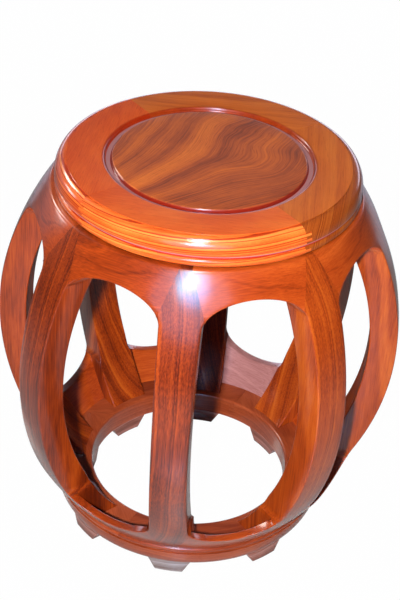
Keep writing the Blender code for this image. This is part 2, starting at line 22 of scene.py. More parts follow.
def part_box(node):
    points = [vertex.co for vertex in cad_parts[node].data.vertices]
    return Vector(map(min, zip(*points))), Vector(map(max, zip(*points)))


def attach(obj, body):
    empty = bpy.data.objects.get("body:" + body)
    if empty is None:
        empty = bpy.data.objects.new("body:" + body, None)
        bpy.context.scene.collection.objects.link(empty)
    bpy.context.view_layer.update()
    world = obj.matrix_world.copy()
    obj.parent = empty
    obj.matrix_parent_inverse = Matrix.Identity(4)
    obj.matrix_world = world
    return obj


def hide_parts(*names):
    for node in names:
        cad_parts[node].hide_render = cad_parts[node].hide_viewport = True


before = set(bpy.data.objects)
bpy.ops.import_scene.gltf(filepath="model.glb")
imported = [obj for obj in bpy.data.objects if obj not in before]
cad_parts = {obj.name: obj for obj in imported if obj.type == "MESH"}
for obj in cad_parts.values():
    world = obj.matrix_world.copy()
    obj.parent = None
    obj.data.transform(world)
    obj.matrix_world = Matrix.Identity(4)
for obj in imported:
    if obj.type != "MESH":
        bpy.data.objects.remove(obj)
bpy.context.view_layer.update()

LOG = logging.getLogger("drum_stool")
ROOT_BODY = "root"
MERGE_DISTANCE = 0.000002
SMOOTH_ANGLE = math.radians(32)
CUT_OVERRUN = 0.004
HALF_PI = math.pi / 2
CORNER_ANGLE = 1.0
BEAD_STEPS = 12
LIP_STEPS = 5
WHITE = (1.0, 1.0, 1.0)

# The seat lies a little off its place, as glued up by hand.
SEAT_SLIP = (0.0012, 0.0008)
SEAT_TWIST = math.radians(-1.9)

Point = tuple[float, float]
Size = tuple[float, float, float]
Colour = tuple[float, float, float]
Place = Callable[[float, float, Any], Vector]


def spread(start: float, end: float, steps: int) -> list[float]:
    """Return even values from one end to the other.

    Args:
        start: First value.
        end: Last value.
        steps: How many steps lie between them.

    Returns:
        steps + 1 values.
    """
    return [start + (end - start) * index / steps for index in range(steps + 1)]


def blend(first: float, second: float, share: float) -> float:
    """Return the value at a share of the way from the first to the second."""
    return first + (second - first) * share


def arc(centre: Point, half_width: float, half_height: float, start: float, end: float,
        steps: int) -> list[Point]:
    """Return points along an elliptic arc.

    Args:
        centre: Centre of the ellipse.
        half_width: Its half width.
        half_height: Its half height.
        start: First angle in radians.
        end: Last angle in radians.
        steps: How many steps lie between them.

    Returns:
        The points in order.
    """
    return [
        (centre[0] + half_width * math.cos(angle), centre[1] + half_height * math.sin(angle))
        for angle in spread(start, end, steps)
    ]


def quarter(centre: Point, radius: float, start: float, end: float, steps: int) -> list[Point]:
    """Return points along a round arc, between two angles about its centre."""
    return arc(centre, radius, radius, start, end, steps)


def circle_through(first: Point, second: Point, third: Point) -> tuple[float, float, float]:
    """Return centre x, centre y and radius of the circle through three points."""
    (ax, ay), (bx, by), (cx, cy) = first, second, third
    double_area = 2 * (ax * (by - cy) + bx * (cy - ay) + cx * (ay - by))
    a_square = ax * ax + ay * ay
    b_square = bx * bx + by * by
    c_square = cx * cx + cy * cy
    x = (a_square * (by - cy) + b_square * (cy - ay) + c_square * (ay - by)) / double_area
    y = (a_square * (cx - bx) + b_square * (ax - cx) + c_square * (bx - ax)) / double_area
    return x, y, math.hypot(ax - x, ay - y)


def on_wall(sideways: float, radius: float, height: float) -> Vector:
    """Return the point at a sideways distance on a round upright wall that faces -Y."""
    return Vector((sideways, -math.sqrt(radius * radius - sideways * sideways), height))


class Operation(Enum):
    """How a tool shape changes a piece."""

    CUT = "DIFFERENCE"
    KEEP = "INTERSECT"
    JOIN = "UNION"


class Workpiece:
    """A piece of wood on the bench: one bmesh and the operators that the stool's pieces share."""

    def __init__(self) -> None:
        """Start with nothing on the bench."""
        self.work = bmesh.new()

    def tidy(self) -> "Workpiece":
        """Merge doubled points and point all faces outwards."""
        bmesh.ops.remove_doubles(self.work, verts=self.work.verts, dist=MERGE_DISTANCE)
        bmesh.ops.recalc_face_normals(self.work, faces=self.work.faces)
        return self

    def turn(self, section: Sequence[Point], steps: int, start: float = 0.0,
             sweep: float = math.tau, closed: bool = True) -> "Workpiece":
        """Turn a section round Z.

        Args:
            section: Points as (radius, height).
            steps: How many steps the turn takes.
            start: Azimuth where the turn starts.
            sweep: Angle that it covers.
            closed: Whether the section is a closed ring or starts and ends on the axis.

        Returns:
            The workpiece.
        """
        full = sweep >= math.tau
        corners = [self.work.verts.new((0.0, -radius, height)) for radius, height in section]
        edges = [self.work.edges.new(pair) for pair in zip(corners, corners[1:])]
        if closed:
            edges.append(self.work.edges.new((corners[-1], corners[0])))
        geometry = corners + edges
        if not full:
            geometry.append(self.work.faces.new(corners))
        turn_to_start = Matrix.Rotation(start, 3, "Z")
        bmesh.ops.rotate(self.work, cent=(0, 0, 0), matrix=turn_to_start, verts=corners)
        bmesh.ops.spin(self.work, geom=geometry, cent=(0, 0, 0), axis=(0, 0, 1), dvec=(0, 0, 0),
                       angle=sweep, steps=steps, use_merge=full, use_duplicate=False)
        return self.tidy()

    def board(self, columns: int, rows: int, place: Place, outer: Any, inner: Any) -> "Workpiece":
        """Lay a grid on an outer surface and push it through to an inner one.

        Args:
            columns: Steps across the board.
            rows: Steps up the board.
            place: Gives a point for shares across and up, each from 0 to 1, and for a face.
            outer: What place is given for the outer face.
            inner: What it is given for the inner face.

        Returns:
            The workpiece.
        """
        bmesh.ops.create_grid(self.work, x_segments=columns, y_segments=rows, size=1.0)
        pushed = bmesh.ops.extrude_face_region(self.work, geom=self.work.faces[:])
        back = {item for item in pushed["geom"] if isinstance(item, bmesh.types.BMVert)}
        for vert in self.work.verts:
            across, up = (vert.co.x + 1) / 2, (vert.co.y + 1) / 2
            vert.co = place(across, up, inner if vert in back else outer)
        return self.tidy()

    def block(self, size: Sequence[float], centre: Sequence[float]) -> "Workpiece":
        """Make a block.

        Args:
            size: Sideways, outwards and up.
            centre: Sideways, outwards and up.

        Returns:
            The workpiece.
        """
        bmesh.ops.create_cube(self.work, size=1.0)
        bmesh.ops.scale(self.work, vec=size, verts=self.work.verts)
        place = (centre[0], -centre[1], centre[2])
        bmesh.ops.translate(self.work, vec=place, verts=self.work.verts)
        return self

    def push(self, outline: Sequence[Point], near: float, far: float) -> "Workpiece":
        """Push a front outline outwards between two distances from the axis.

        Args:
            outline: Points as (sideways, up).
            near: Distance where the shape starts.
            far: Distance where it ends.

        Returns:
            The workpiece.
        """
        face = self.work.faces.new([self.work.verts.new((x, -near, z)) for x, z in outline])
        pushed = bmesh.ops.extrude_face_region(self.work, geom=[face])
        moved = [item for item in pushed["geom"] if isinstance(item, bmesh.types.BMVert)]
        bmesh.ops.translate(self.work, vec=(0.0, near - far, 0.0), verts=moved)
        return self.tidy()

    def face_azimuth(self, azimuth: float) -> "Workpiece":
        """Turn everything on the bench from -Y to an azimuth."""
        turn = Matrix.Rotation(azimuth, 3, "Z")
        bmesh.ops.rotate(self.work, cent=(0, 0, 0), matrix=turn, verts=self.work.verts)
        return self

    def soften(self, width: float, segments: int,
               chosen: Callable[[bmesh.types.BMEdge], bool]) -> "Workpiece":
        """Round the chosen edges over.

        Args:
            width: How far the rounding reaches from the edge.
            segments: How many faces make it.
            chosen: Says whether an edge is rounded.

        Returns:
            The workpiece.
        """
        edges = [edge for edge in self.work.edges if chosen(edge)]
        bmesh.ops.bevel(self.work, geom=edges, offset=width, offset_type="OFFSET",
                        segments=segments, profile=0.5, affect="EDGES", material=-1,
                        clamp_overlap=True)
        return self.tidy()

    def as_object(self, name: str) -> bpy.types.Object:
        """Take the piece off the bench as an object at the origin."""
        mesh = bpy.data.meshes.new(name)
        self.work.to_mesh(mesh)
        self.work.free()
        item = bpy.data.objects.new(name, mesh)
        bpy.context.scene.collection.objects.link(item)
        return item


def fitted(name: str, base: Workpiece,
           steps: Sequence[tuple[Operation, Workpiece]] = ()) -> bpy.types.Mesh:
    """Fit a piece to its neighbours with tool shapes and return its finished mesh.

    Args:
        name: Name of the mesh.
        base: The piece before its joints are cut.
        steps: Tool shapes in the order of their use.

    Returns:
        A smooth-shaded mesh with its real corners kept sharp.
    """
    item = base.as_object(name)
    tools = []
    for operation, shape in steps:
        tool = shape.as_object(f"{name}_tool")
        cutter = item.modifiers.new(tool.name, "BOOLEAN")
        cutter.operation = operation.value
        cutter.solver = "EXACT"
        cutter.object = tool
        tools.append(tool)
    bpy.context.view_layer.update()
    graph = bpy.context.evaluated_depsgraph_get()
    mesh = bpy.data.meshes.new_from_object(item.evaluated_get(graph), depsgraph=graph)
    for used in [item, *tools]:
        bpy.data.objects.remove(used, do_unlink=True)
    finishing = bmesh.new()
    finishing.from_mesh(mesh)
    bmesh.ops.remove_doubles(finishing, verts=finishing.verts, dist=MERGE_DISTANCE)
    bmesh.ops.dissolve_degenerate(finishing, edges=finishing.edges, dist=MERGE_DISTANCE)
    finishing.to_mesh(mesh)
    finishing.free()
    mesh.shade_smooth()
    mesh.set_sharp_from_angle(angle=SMOOTH_ANGLE)
    return mesh


class Signal:
    """One output socket of a material; arithmetic on it adds Math nodes."""

    def __init__(self, recipe: "Recipe", socket: bpy.types.NodeSocket) -> None:
        """Remember the recipe that the socket belongs to."""
        self.recipe = recipe
        self.socket = socket

    def math(self, operation: str, first: Any, second: Any = 0.0) -> "Signal":
        """Return the result of one Math node."""
        return self.recipe.node("ShaderNodeMath", {"operation": operation}, {0: first, 1: second})

    def __add__(self, other: Any) -> "Signal":
        """Add."""
        return self.math("ADD", self, other)

    def __radd__(self, other: Any) -> "Signal":
        """Add, from the right."""
        return self.math("ADD", other, self)

    def __sub__(self, other: Any) -> "Signal":
        """Subtract."""
        return self.math("SUBTRACT", self, other)

    def __rsub__(self, other: Any) -> "Signal":
        """Subtract, from the right."""
        return self.math("SUBTRACT", other, self)

    def __mul__(self, other: Any) -> "Signal":
        """Multiply."""
        return self.math("MULTIPLY", self, other)

    def __rmul__(self, other: Any) -> "Signal":
        """Multiply, from the right."""
        return self.math("MULTIPLY", other, self)

    def __truediv__(self, other: Any) -> "Signal":
        """Divide."""
        return self.math("DIVIDE", self, other)

    def __rtruediv__(self, other: Any) -> "Signal":
        """Divide, from the right."""
        return self.math("DIVIDE", other, self)

    def __pow__(self, other: Any) -> "Signal":
        """Raise to a power."""
        return self.math("POWER", self, other)

    def __rpow__(self, other: Any) -> "Signal":
        """Raise to a power, from the right."""
        return self.math("POWER", other, self)


class Recipe:
    """The node tree of one material or world."""

    MIX_FACTOR = 0
    MIX_FIRST_COLOUR = 6
    MIX_SECOND_COLOUR = 7
    MIX_COLOUR_RESULT = 2

    def __init__(self, owner: bpy.types.Material | bpy.types.World) -> None:
        """Clear the owner's node tree.

        Args:
            owner: The material or world that the recipe is for.
        """
        owner.use_nodes = True
        self.tree = owner.node_tree
        self.tree.nodes.clear()

    def node(self, kind: str, settings: dict[str, Any] | None = None,
             inputs: dict[int | str, Any] | None = None, output: int | str = 0) -> Signal:
        """Add one node.

        Args:
            kind: Type of the node.
            settings: Its settings, such as an operation or a ramp's stops.
            inputs: Values or signals for its input sockets.
            output: Which output is returned.

        Returns:
            The signal of that output.
        """
        made = self.tree.nodes.new(kind)
        for name, value in (settings or {}).items():
            if name == "stops":
                self.set_stops(made.color_ramp, value)
            else:
                setattr(made, name, value)
        for key, value in (inputs or {}).items():
            if isinstance(value, Signal):
                self.tree.links.new(value.socket, made.inputs[key])
            else:
                made.inputs[key].default_value = value
        return Signal(self, made.outputs[output]) if made.outputs else Signal(self, None)

    @staticmethod
    def set_stops(ramp: bpy.types.ColorRamp, stops: Sequence[tuple[float, Colour]]) -> None:
        """Give a colour ramp its stops, from left to right."""
        while len(ramp.elements) < len(stops):
            ramp.elements.new(1.0)
        for element, (place, colour) in zip(ramp.elements, stops):
            element.position = place
            element.color = (*colour, 1.0)

    def noise(self, point: Signal, detail: float, roughness: float = 0.5) -> Signal:
        """Return solid noise at a point, about 0.5 in the middle."""
        inputs = {"Vector": point, "Scale": 1.0, "Detail": detail, "Roughness": roughness}
        return self.node("ShaderNodeTexNoise", {"noise_dimensions": "3D"}, inputs)

    def stripes(self, place: Signal, detail: float, roughness: float = 0.5) -> Signal:
        """Return noise that varies along one value only, about 0.5 in the middle."""
        inputs = {"W": place, "Scale": 1.0, "Detail": detail, "Roughness": roughness}
        return self.node("ShaderNodeTexNoise", {"noise_dimensions": "1D"}, inputs)

    def stretch(self, point: Signal, factors: Sequence[float]) -> Signal:
        """Return a point with each axis multiplied by its own factor."""
        inputs = {0: point, 1: tuple(factors)}
        return self.node("ShaderNodeVectorMath", {"operation": "MULTIPLY"}, inputs)

    def rise(self, value: Signal, low: float, high: float) -> Signal:
        """Return 0 below the low value, 1 above the high one and a smooth step between them."""
        return self.node("ShaderNodeMapRange", {"interpolation_type": "SMOOTHSTEP"},
                         {"Value": value, "From Min": low, "From Max": high})

    def mix(self, share: Any, first: Signal, second: Colour, blend_type: str = "MIX") -> Signal:
        """Return a colour with a share of a second one mixed in.

        Args:
            share: From 0 for the first colour to 1 for the second.
            first: The first colour.
            second: The second colour.
            blend_type: How the second works on the first.

        Returns:
            The mixed colour.
        """
        inputs = {self.MIX_FACTOR: share, self.MIX_FIRST_COLOUR: first,
                  self.MIX_SECOND_COLOUR: (*second, 1.0)}
        return self.node("ShaderNodeMix", {"data_type": "RGBA", "blend_type": blend_type}, inputs,
                         self.MIX_COLOUR_RESULT)

    def seat_radius(self, point: Signal) -> Signal:
        """Return how far a point lies from the seat's own axis."""
        x, y, _ = self.axes(point)
        off_x, off_y = x - SEAT_SLIP[0], y - SEAT_SLIP[1]
        return (off_x * off_x + off_y * off_y) ** 0.5

    def axes(self, point: Signal) -> tuple[Signal, Signal, Signal]:
        """Return the three axes of a point as signals."""
        split = self.node("ShaderNodeSeparateXYZ", {}, {0: point}).socket.node
        return tuple(Signal(self, output) for output in split.outputs)


@dataclass(frozen=True)
class Grain:
    """How the wood lies in a piece that faces -Y: along its fibres and across its rings."""

    fibres: Size
    rings: Size

    def turned(self, azimuth: float) -> Matrix:
        """Return the rotation from the stool's axes to the grain's own.

        Args:
            azimuth: Where the piece faces.

        Returns:
            A rotation whose rows are along the fibres, across the rings, and the third axis.
        """
        along = Vector(self.fibres).normalized()
        across = Vector(self.rings)
        across = (across - along * along.dot(across)).normalized()
        third = along.cross(across)
        return Matrix((along, across, third)) @ Matrix.Rotation(-azimuth, 3, "Z")


@dataclass(frozen=True)
class WoodFinish:
    """Lacquered red hardwood: the tones of its rings, and how wide, wavy and strong they are."""

    tones: tuple[Colour, ...]
    band_width: float = 0.010
    band_strength: float = 0.5
    streak_width: float = 0.0030
    streak_strength: float = 0.6
    fibre_strength: float = 0.3
    mottle_strength: float = 0.3
    wave_height: float = 0.010
    wave_length: float = 0.20
    ripple_share: float = 0.05
    pith: Point = (0.16, 0.05)
    roughness: float = 0.42
    specular: float = 0.15
    coat: float = 0.9
    coat_roughness: float = 0.17
    pore_depth: float = 0.35

    RAMP_START = 0.2
    RAMP_END = 0.8
    NOISE_SPAN = 4
    WAVE_CROSSING = 3
    RIPPLE_FINENESS = 6
    LOG_SPACING = 1.37
    STREAK_PLACE = 31.0
    MOTTLE_SCALE = (14.0, 30.0, 30.0)
    FIBRE_LENGTH = 0.040
    FIBRE_WIDTH = 0.0012
    PORE_LENGTH = 0.012
    PORE_WIDTH = 0.0005
    PORE_EDGE = (0.60, 0.72)
    PORE_TINT = (0.35, 0.25, 0.22)
    STREAK_RELIEF = 0.4
    FIBRE_RELIEF = 0.6
    PORE_RELIEF = 0.5
    RELIEF_STRENGTH = 0.10
    RELIEF_HEIGHT = 0.0003
    ROUGHNESS_SWING = 0.15
    LACQUER_IOR = 1.5

    def waves(self, recipe: Recipe, point: Signal) -> Signal:
        """Return how far slow waves and a small ripple shift the rings at a point."""
        long, cross = 1 / self.wave_length, self.WAVE_CROSSING / self.wave_length
        fine = self.RIPPLE_FINENESS
        wave = recipe.noise(recipe.stretch(point, (long, cross, cross)), 1.0) - 0.5
        ripple = recipe.noise(
            recipe.stretch(point, (fine * long, fine * cross, fine * cross)), 0.0) - 0.5
        reach = self.NOISE_SPAN * self.wave_height
        return wave * reach + ripple * (reach * self.ripple_share)

    def ring_place(self, recipe: Recipe, point: Signal) -> Signal:
        """Return how far a point lies across the growth rings, in metres.

        Args:
            recipe: The material's recipe.
            point: The point in the grain's own axes.

        Returns:
            The distance from the pith, bent by slow waves.
        """
        x, y, z = recipe.axes(point)
        bent = y + self.waves(recipe, point)
        return (bent * bent + z * z) ** 0.5

    def log_place(self, turn: Matrix, middle: Vector, seed: int) -> Vector:
        """Return the shift from the stool's axes to the place in the log.

        Args:
            turn: Rotation from the stool's axes to the grain's own.
            middle: Middle of the piece.
            seed: Number that picks the place along the log.

        Returns:
            The shift in the grain's own axes.
        """
        return Vector((self.LOG_SPACING * seed, *self.pith)) - turn @ middle

    def bands(self, recipe: Recipe, ring: Signal) -> Signal:
        """Return how light the broad bands are, about zero in the middle."""
        return recipe.stripes(ring / self.band_width, 1.0) - 0.5

    def streaks(self, recipe: Recipe, ring: Signal, coordinates: Signal) -> Signal:
        """Return how light the narrow streaks are, about zero in the middle."""
        return recipe.stripes(ring / self.streak_width + self.STREAK_PLACE, 2.0, 0.6) - 0.5

    def strokes(self, recipe: Recipe, point: Signal, ring: Signal, length: float,
                width: float) -> Signal:
        """Return a point squeezed so that noise at it makes strokes along the fibres.

        Args:
            recipe: The material's recipe.
            point: The point in the grain's own axes.
            ring: How far it lies across the growth rings; not used here.
            length: Length of a stroke.
            width: Its width.

        Returns:
            The squeezed point.
        """
        return recipe.stretch(point, (1 / length, 1 / width, 1 / width))

    def stain(self, recipe: Recipe, coordinates: Signal, colour: Signal) -> Signal:
        """Return the wood's colour after any stain on part of the piece."""
        return colour

    def ridges(self, recipe: Recipe, coordinates: Signal) -> Any:
        """Return the height of any fine ridges on part of the piece."""
        return 0.0

    def material(self, name: str, turn: Matrix, middle: Vector, seed: int,
                 shade: float) -> bpy.types.Material:
        """Build the finish for one piece.

        Args:
            name: Name of the material.
            turn: Rotation from the stool's axes to the grain's own.
            middle: Middle of the piece.
            seed: Number that picks where in the log the piece was sawn.
            shade: How much lighter the piece is than the finish's middle tone.

        Returns:
            The material.
        """
        made = bpy.data.materials.new(name)
        recipe = Recipe(made)
        coordinates = recipe.node("ShaderNodeTexCoord", output="Object")
        point = recipe.node("ShaderNodeMapping", {"vector_type": "POINT"},
                            {"Vector": coordinates,
                             "Location": self.log_place(turn, middle, seed),
                             "Rotation": turn.to_euler("XYZ")})
        ring = self.ring_place(recipe, point)
        band = self.bands(recipe, ring)
        streak = self.streaks(recipe, ring, coordinates)
        fibre_point = self.strokes(recipe, point, ring, self.FIBRE_LENGTH, self.FIBRE_WIDTH)
        fibre = recipe.noise(fibre_point, 2.0, 0.6) - 0.5
        pore_point = self.strokes(recipe, point, ring, self.PORE_LENGTH, self.PORE_WIDTH)
        pore = recipe.rise(recipe.noise(pore_point, 1.0), *self.PORE_EDGE)
        mottle = recipe.noise(recipe.stretch(point, self.MOTTLE_SCALE), 2.0) - 0.5
        tone = (band * self.band_strength + streak * self.streak_strength
                + fibre * self.fibre_strength + mottle * self.mottle_strength + (0.5 + shade))
        places = spread(self.RAMP_START, self.RAMP_END, len(self.tones) - 1)
        colour = recipe.node("ShaderNodeValToRGB", {"stops": list(zip(places, self.tones))},
                             {"Fac": tone})
        darkened = recipe.mix(pore * self.pore_depth, colour, self.PORE_TINT, "MULTIPLY")
        relief = (streak * self.STREAK_RELIEF + fibre * self.FIBRE_RELIEF
                  - pore * self.PORE_RELIEF + self.ridges(recipe, coordinates))
        bump = recipe.node("ShaderNodeBump", {}, {
            "Strength": self.RELIEF_STRENGTH, "Distance": self.RELIEF_HEIGHT, "Height": relief})
        shader = recipe.node("ShaderNodeBsdfPrincipled", {}, {
            "Base Color": self.stain(recipe, coordinates, darkened),
            "Roughness": mottle * self.ROUGHNESS_SWING + self.roughness,
            "Specular IOR Level": self.specular,
            "Normal": bump,
            "Coat Weight": self.coat,
            "Coat Roughness": self.coat_roughness,
            "IOR": self.LACQUER_IOR,
        })
        recipe.node("ShaderNodeOutputMaterial", {}, {"Surface": shader})
        return made


@dataclass(frozen=True)
class FannedFinish(WoodFinish):
    """Figured wood of the wide panel: planned bands that fan out from one side, with swirls."""

    fan_from: Point = (-0.205, -0.203)
    fan_bend: float = -0.65
    fan_curl: float = -0.39
    fan_reach: float = 0.29
    swirls: tuple[tuple[Point, float, float], ...] = (
        ((0.0, 0.07), 0.030, -0.060),
        ((0.07, -0.01), 0.030, 0.080),
    )
    plan: tuple[Point, ...] = (
        (0.25, 0.20), (0.335, 0.42), (0.395, 0.25), (0.476, 0.66), (0.551, 0.05), (0.607, 0.92),
        (0.648, 0.98), (0.705, 0.28), (0.775, 0.62), (0.813, 0.25), (0.851, 0.80), (0.900, 0.35))
    edge: Point = (0.1025, 0.1037)
    edge_tone: Colour = (0.22, 0.012, 0.004)
    # The ledge's grey-violet tone is a painted reflection of the bright room in its lacquer.
    ledge: Point = (0.1047, 0.1053)
    ledge_painted_reflection: Colour = (0.37, 0.16, 0.16)

    def away(self, recipe: Recipe, point: Signal) -> tuple[Signal, Signal, Signal]:
        """Return how far a point lies from the fan's start: along x, along y and in all."""
        x, y, _ = recipe.axes(point)
        away_x, away_y = x - self.fan_from[0], y - self.fan_from[1]
        return away_x, away_y, (away_x * away_x + away_y * away_y) ** 0.5

    def ring_place(self, recipe: Recipe, point: Signal) -> Signal:
        """Return the distance across the fan at its middle reach, bent by waves and swirls."""
        x, y, _ = recipe.axes(point)
        away_x, away_y, reach = self.away(recipe, point)
        turn = away_x.math("ARCTAN2", away_y, away_x)
        turn = turn + reach * self.fan_bend + reach * reach * self.fan_curl
        for (swirl_x, swirl_y), size, twist in self.swirls:
            near_x, near_y = (x - swirl_x) / size, (y - swirl_y) / size
            fall = (near_x * near_x + near_y * near_y) * -0.5
            turn = turn + fall.math("EXPONENT", fall) * twist
        return turn * self.fan_reach + self.waves(recipe, point)

    def log_place(self, turn: Matrix, middle: Vector, seed: int) -> Vector:
        """Return no shift: the fan is laid out on the panel itself."""
        return Vector((0.0, 0.0, 0.0))

    def bands(self, recipe: Recipe, ring: Signal) -> Signal:
        """Return how light the planned bands are, about zero in the middle."""
        first, last = self.plan[0][0], self.plan[-1][0]
        stops = [((place - first) / (last - first), (light, light, light))
                 for place, light in self.plan]
        share = (ring / self.fan_reach - first) / (last - first)
        return recipe.node("ShaderNodeValToRGB", {"stops": stops}, {"Fac": share}) - 0.5

    def strokes(self, recipe: Recipe, point: Signal, ring: Signal, length: float,
                width: float) -> Signal:
        """Return a point squeezed so that noise at it makes strokes along the fan.

        Args:
            recipe: The material's recipe.
            point: The point in the grain's own axes.
            ring: How far it lies across the fan.
            length: Length of a stroke.
            width: Its width.

        Returns:
            The squeezed point.
        """
        reach = self.away(recipe, point)[2]
        return recipe.node("ShaderNodeCombineXYZ", {}, {0: reach / length, 1: ring / width})

    def stain(self, recipe: Recipe, coordinates: Signal, colour: Signal) -> Signal:
        """Return the colour with the field's red edge and a painted reflection on its ledge."""
        radius = recipe.seat_radius(coordinates)
        edged = recipe.mix(recipe.rise(radius, *self.edge), colour, self.edge_tone)
        return recipe.mix(recipe.rise(radius, *self.ledge), edged, self.ledge_painted_reflection)


@dataclass(frozen=True)
class MouldedFinish(WoodFinish):
    """Wood of the seat frame: calm on its flat top, with streaks along its moulded rim."""

    rim: Point = (0.1503, 0.1513)
    # Multiplies the rim's colour: painted shade on segments whose moulding turns away from the
    # light.
    rim_painted_shade: Colour = (1.0, 1.0, 1.0)
    rim_shade: float = 0.10
    line_width: float = 0.0011
    line_strength: float = 0.55
    calm: float = 0.35
    # The inner edge's darker tone is painted shade where the edge drops to the panel's groove.
    inner: Point = (0.1122, 0.1150)
    inner_painted_shade: Colour = (0.50, 0.24, 0.16)
    # The quirk's deep red is painted shade: the recess darkened and reddened as light bounces in
    # it.
    quirk: Point = (0.4376, 0.4413)
    quirk_painted_shade: Colour = (0.44, 0.015, 0.001)
    # The lip's pinkish grey is a painted reflection of the pale room below the ovolo.
    lip: Point = (0.4413, 0.4424)
    lip_painted_reflection: Colour = (0.36, 0.14, 0.15)
    # A painted shadow darkens the foot of the bead, in the gap above the legs and aprons.
    under_bead: Point = (0.4290, 0.4308)
    under_bead_painted_shadow: Colour = (0.10, 0.015, 0.008)
    line_blur: float = 0.0001
    ridge_width: float = 0.0011
    ridge_height: float = 2.5

    LINE_PLACE = 7.0
    LINE_EDGE = (0.52, 0.66)

    def on_rim(self, recipe: Recipe, coordinates: Signal) -> Signal:
        """Return 1 on the moulded rim and 0 on the flat top."""
        return recipe.rise(recipe.seat_radius(coordinates), *self.rim)

    def between(self, recipe: Recipe, coordinates: Signal, heights: Point) -> Signal:
        """Return 1 on the rim between two heights and 0 elsewhere."""
        _, _, z = recipe.axes(coordinates)
        low, high = heights
        above = recipe.rise(z, low - self.line_blur, low + self.line_blur)
        past = recipe.rise(z, high - self.line_blur, high + self.line_blur)
        return (above - past) * self.on_rim(recipe, coordinates)

    def streaks(self, recipe: Recipe, ring: Signal, coordinates: Signal) -> Signal:
        """Return how light the streaks are: calm on the flat top, with dark lines on the rim."""
        on_rim = self.on_rim(recipe, coordinates)
        broad = super().streaks(recipe, ring, coordinates) * (on_rim * (1 - self.calm) + self.calm)
        place = ring / self.line_width + self.LINE_PLACE
        lines = recipe.rise(recipe.stripes(place, 1.0), *self.LINE_EDGE)
        return broad + on_rim * (self.rim_shade - lines * self.line_strength)

    def stain(self, recipe: Recipe, coordinates: Signal, colour: Signal) -> Signal:
        """Return the colour with painted shade and painted reflections on edges and mouldings."""
        flat = recipe.rise(recipe.seat_radius(coordinates), *self.inner)
        # Painted shade darkens the inner edge by the panel.
        edged = recipe.mix(1 - flat, colour, self.inner_painted_shade, "MULTIPLY")
        # Painted shade darkens the moulded rim where the finish asks for it.
        tinted = recipe.mix(self.on_rim(recipe, coordinates), edged, self.rim_painted_shade, "MULTIPLY")
        # A painted reflection greys the lip at the foot of the ovolo.
        lipped = recipe.mix(self.between(recipe, coordinates, self.lip), tinted, self.lip_painted_reflection)
        # A painted shadow darkens the foot of the bead.
        under_bead_shadowed = recipe.mix(self.between(recipe, coordinates, self.under_bead), lipped, self.under_bead_painted_shadow)
        # Painted shade turns the recess of the quirk deep red.
        return recipe.mix(self.between(recipe, coordinates, self.quirk), under_bead_shadowed, self.quirk_painted_shade)

    def ridges(self, recipe: Recipe, coordinates: Signal) -> Any:
        """Return the height of the fine ridges that the moulding cutter leaves along the rim."""
        _, _, z = recipe.axes(coordinates)
        ridge = recipe.stripes(z / self.ridge_width, 1.0) - 0.5
        return ridge * self.on_rim(recipe, coordinates) * self.ridge_height


FRAME_ORANGE = MouldedFinish(
    tones=((0.42, 0.032, 0.003), (0.55, 0.060, 0.006), (0.68, 0.100, 0.012), (0.78, 0.160, 0.022),
           (0.84, 0.230, 0.040)),
    band_width=0.009, band_strength=0.30, streak_width=0.0034, streak_strength=0.80,
    fibre_strength=0.25, mottle_strength=0.40, wave_height=0.0012, wave_length=0.22,
    ripple_share=0.0, pith=(0.30, 0.02), coat_roughness=0.14)
# The rims of the right and back segments carry a painted shade.
FRAME_TAN = MouldedFinish(
    tones=((0.28, 0.042, 0.004), (0.40, 0.072, 0.008), (0.53, 0.108, 0.011), (0.60, 0.140, 0.015),
           (0.66, 0.175, 0.022)),
    band_width=0.010, band_strength=0.32, streak_width=0.0030, streak_strength=0.60,
    fibre_strength=0.35, wave_height=0.004, wave_length=0.20, pith=(0.35, 0.04),
    rim_painted_shade=(0.60, 0.54, 0.60), coat_roughness=0.14)
PANEL_FIGURE = FannedFinish(
    tones=((0.17, 0.034, 0.016), (0.30, 0.060, 0.020), (0.45, 0.093, 0.022), (0.58, 0.125, 0.022),
           (0.68, 0.165, 0.026)),
    band_strength=0.42, streak_width=0.0028, streak_strength=0.36, fibre_strength=0.55,
    mottle_strength=0.30, wave_height=0.003, wave_length=0.14, ripple_share=0.0,
    coat_roughness=0.12, pore_depth=0.60)
LEG_RED = WoodFinish(
    tones=((0.08, 0.008, 0.001), (0.17, 0.019, 0.002), (0.29, 0.037, 0.003), (0.40, 0.061, 0.005),
           (0.49, 0.094, 0.009)),
    band_width=0.012, band_strength=0.45, streak_width=0.0028, streak_strength=0.42,
    fibre_strength=0.55, wave_height=0.004, wave_length=0.20, pith=(0.14, 0.03))
APRON_RED = WoodFinish(
    tones=((0.13, 0.014, 0.001), (0.24, 0.027, 0.002), (0.36, 0.046, 0.004), (0.46, 0.072, 0.008),
           (0.55, 0.105, 0.013)),
    band_width=0.014, band_strength=0.27, streak_width=0.0036, streak_strength=0.22,
    fibre_strength=0.45, wave_height=0.012, wave_length=0.10, pith=(0.16, 0.05))
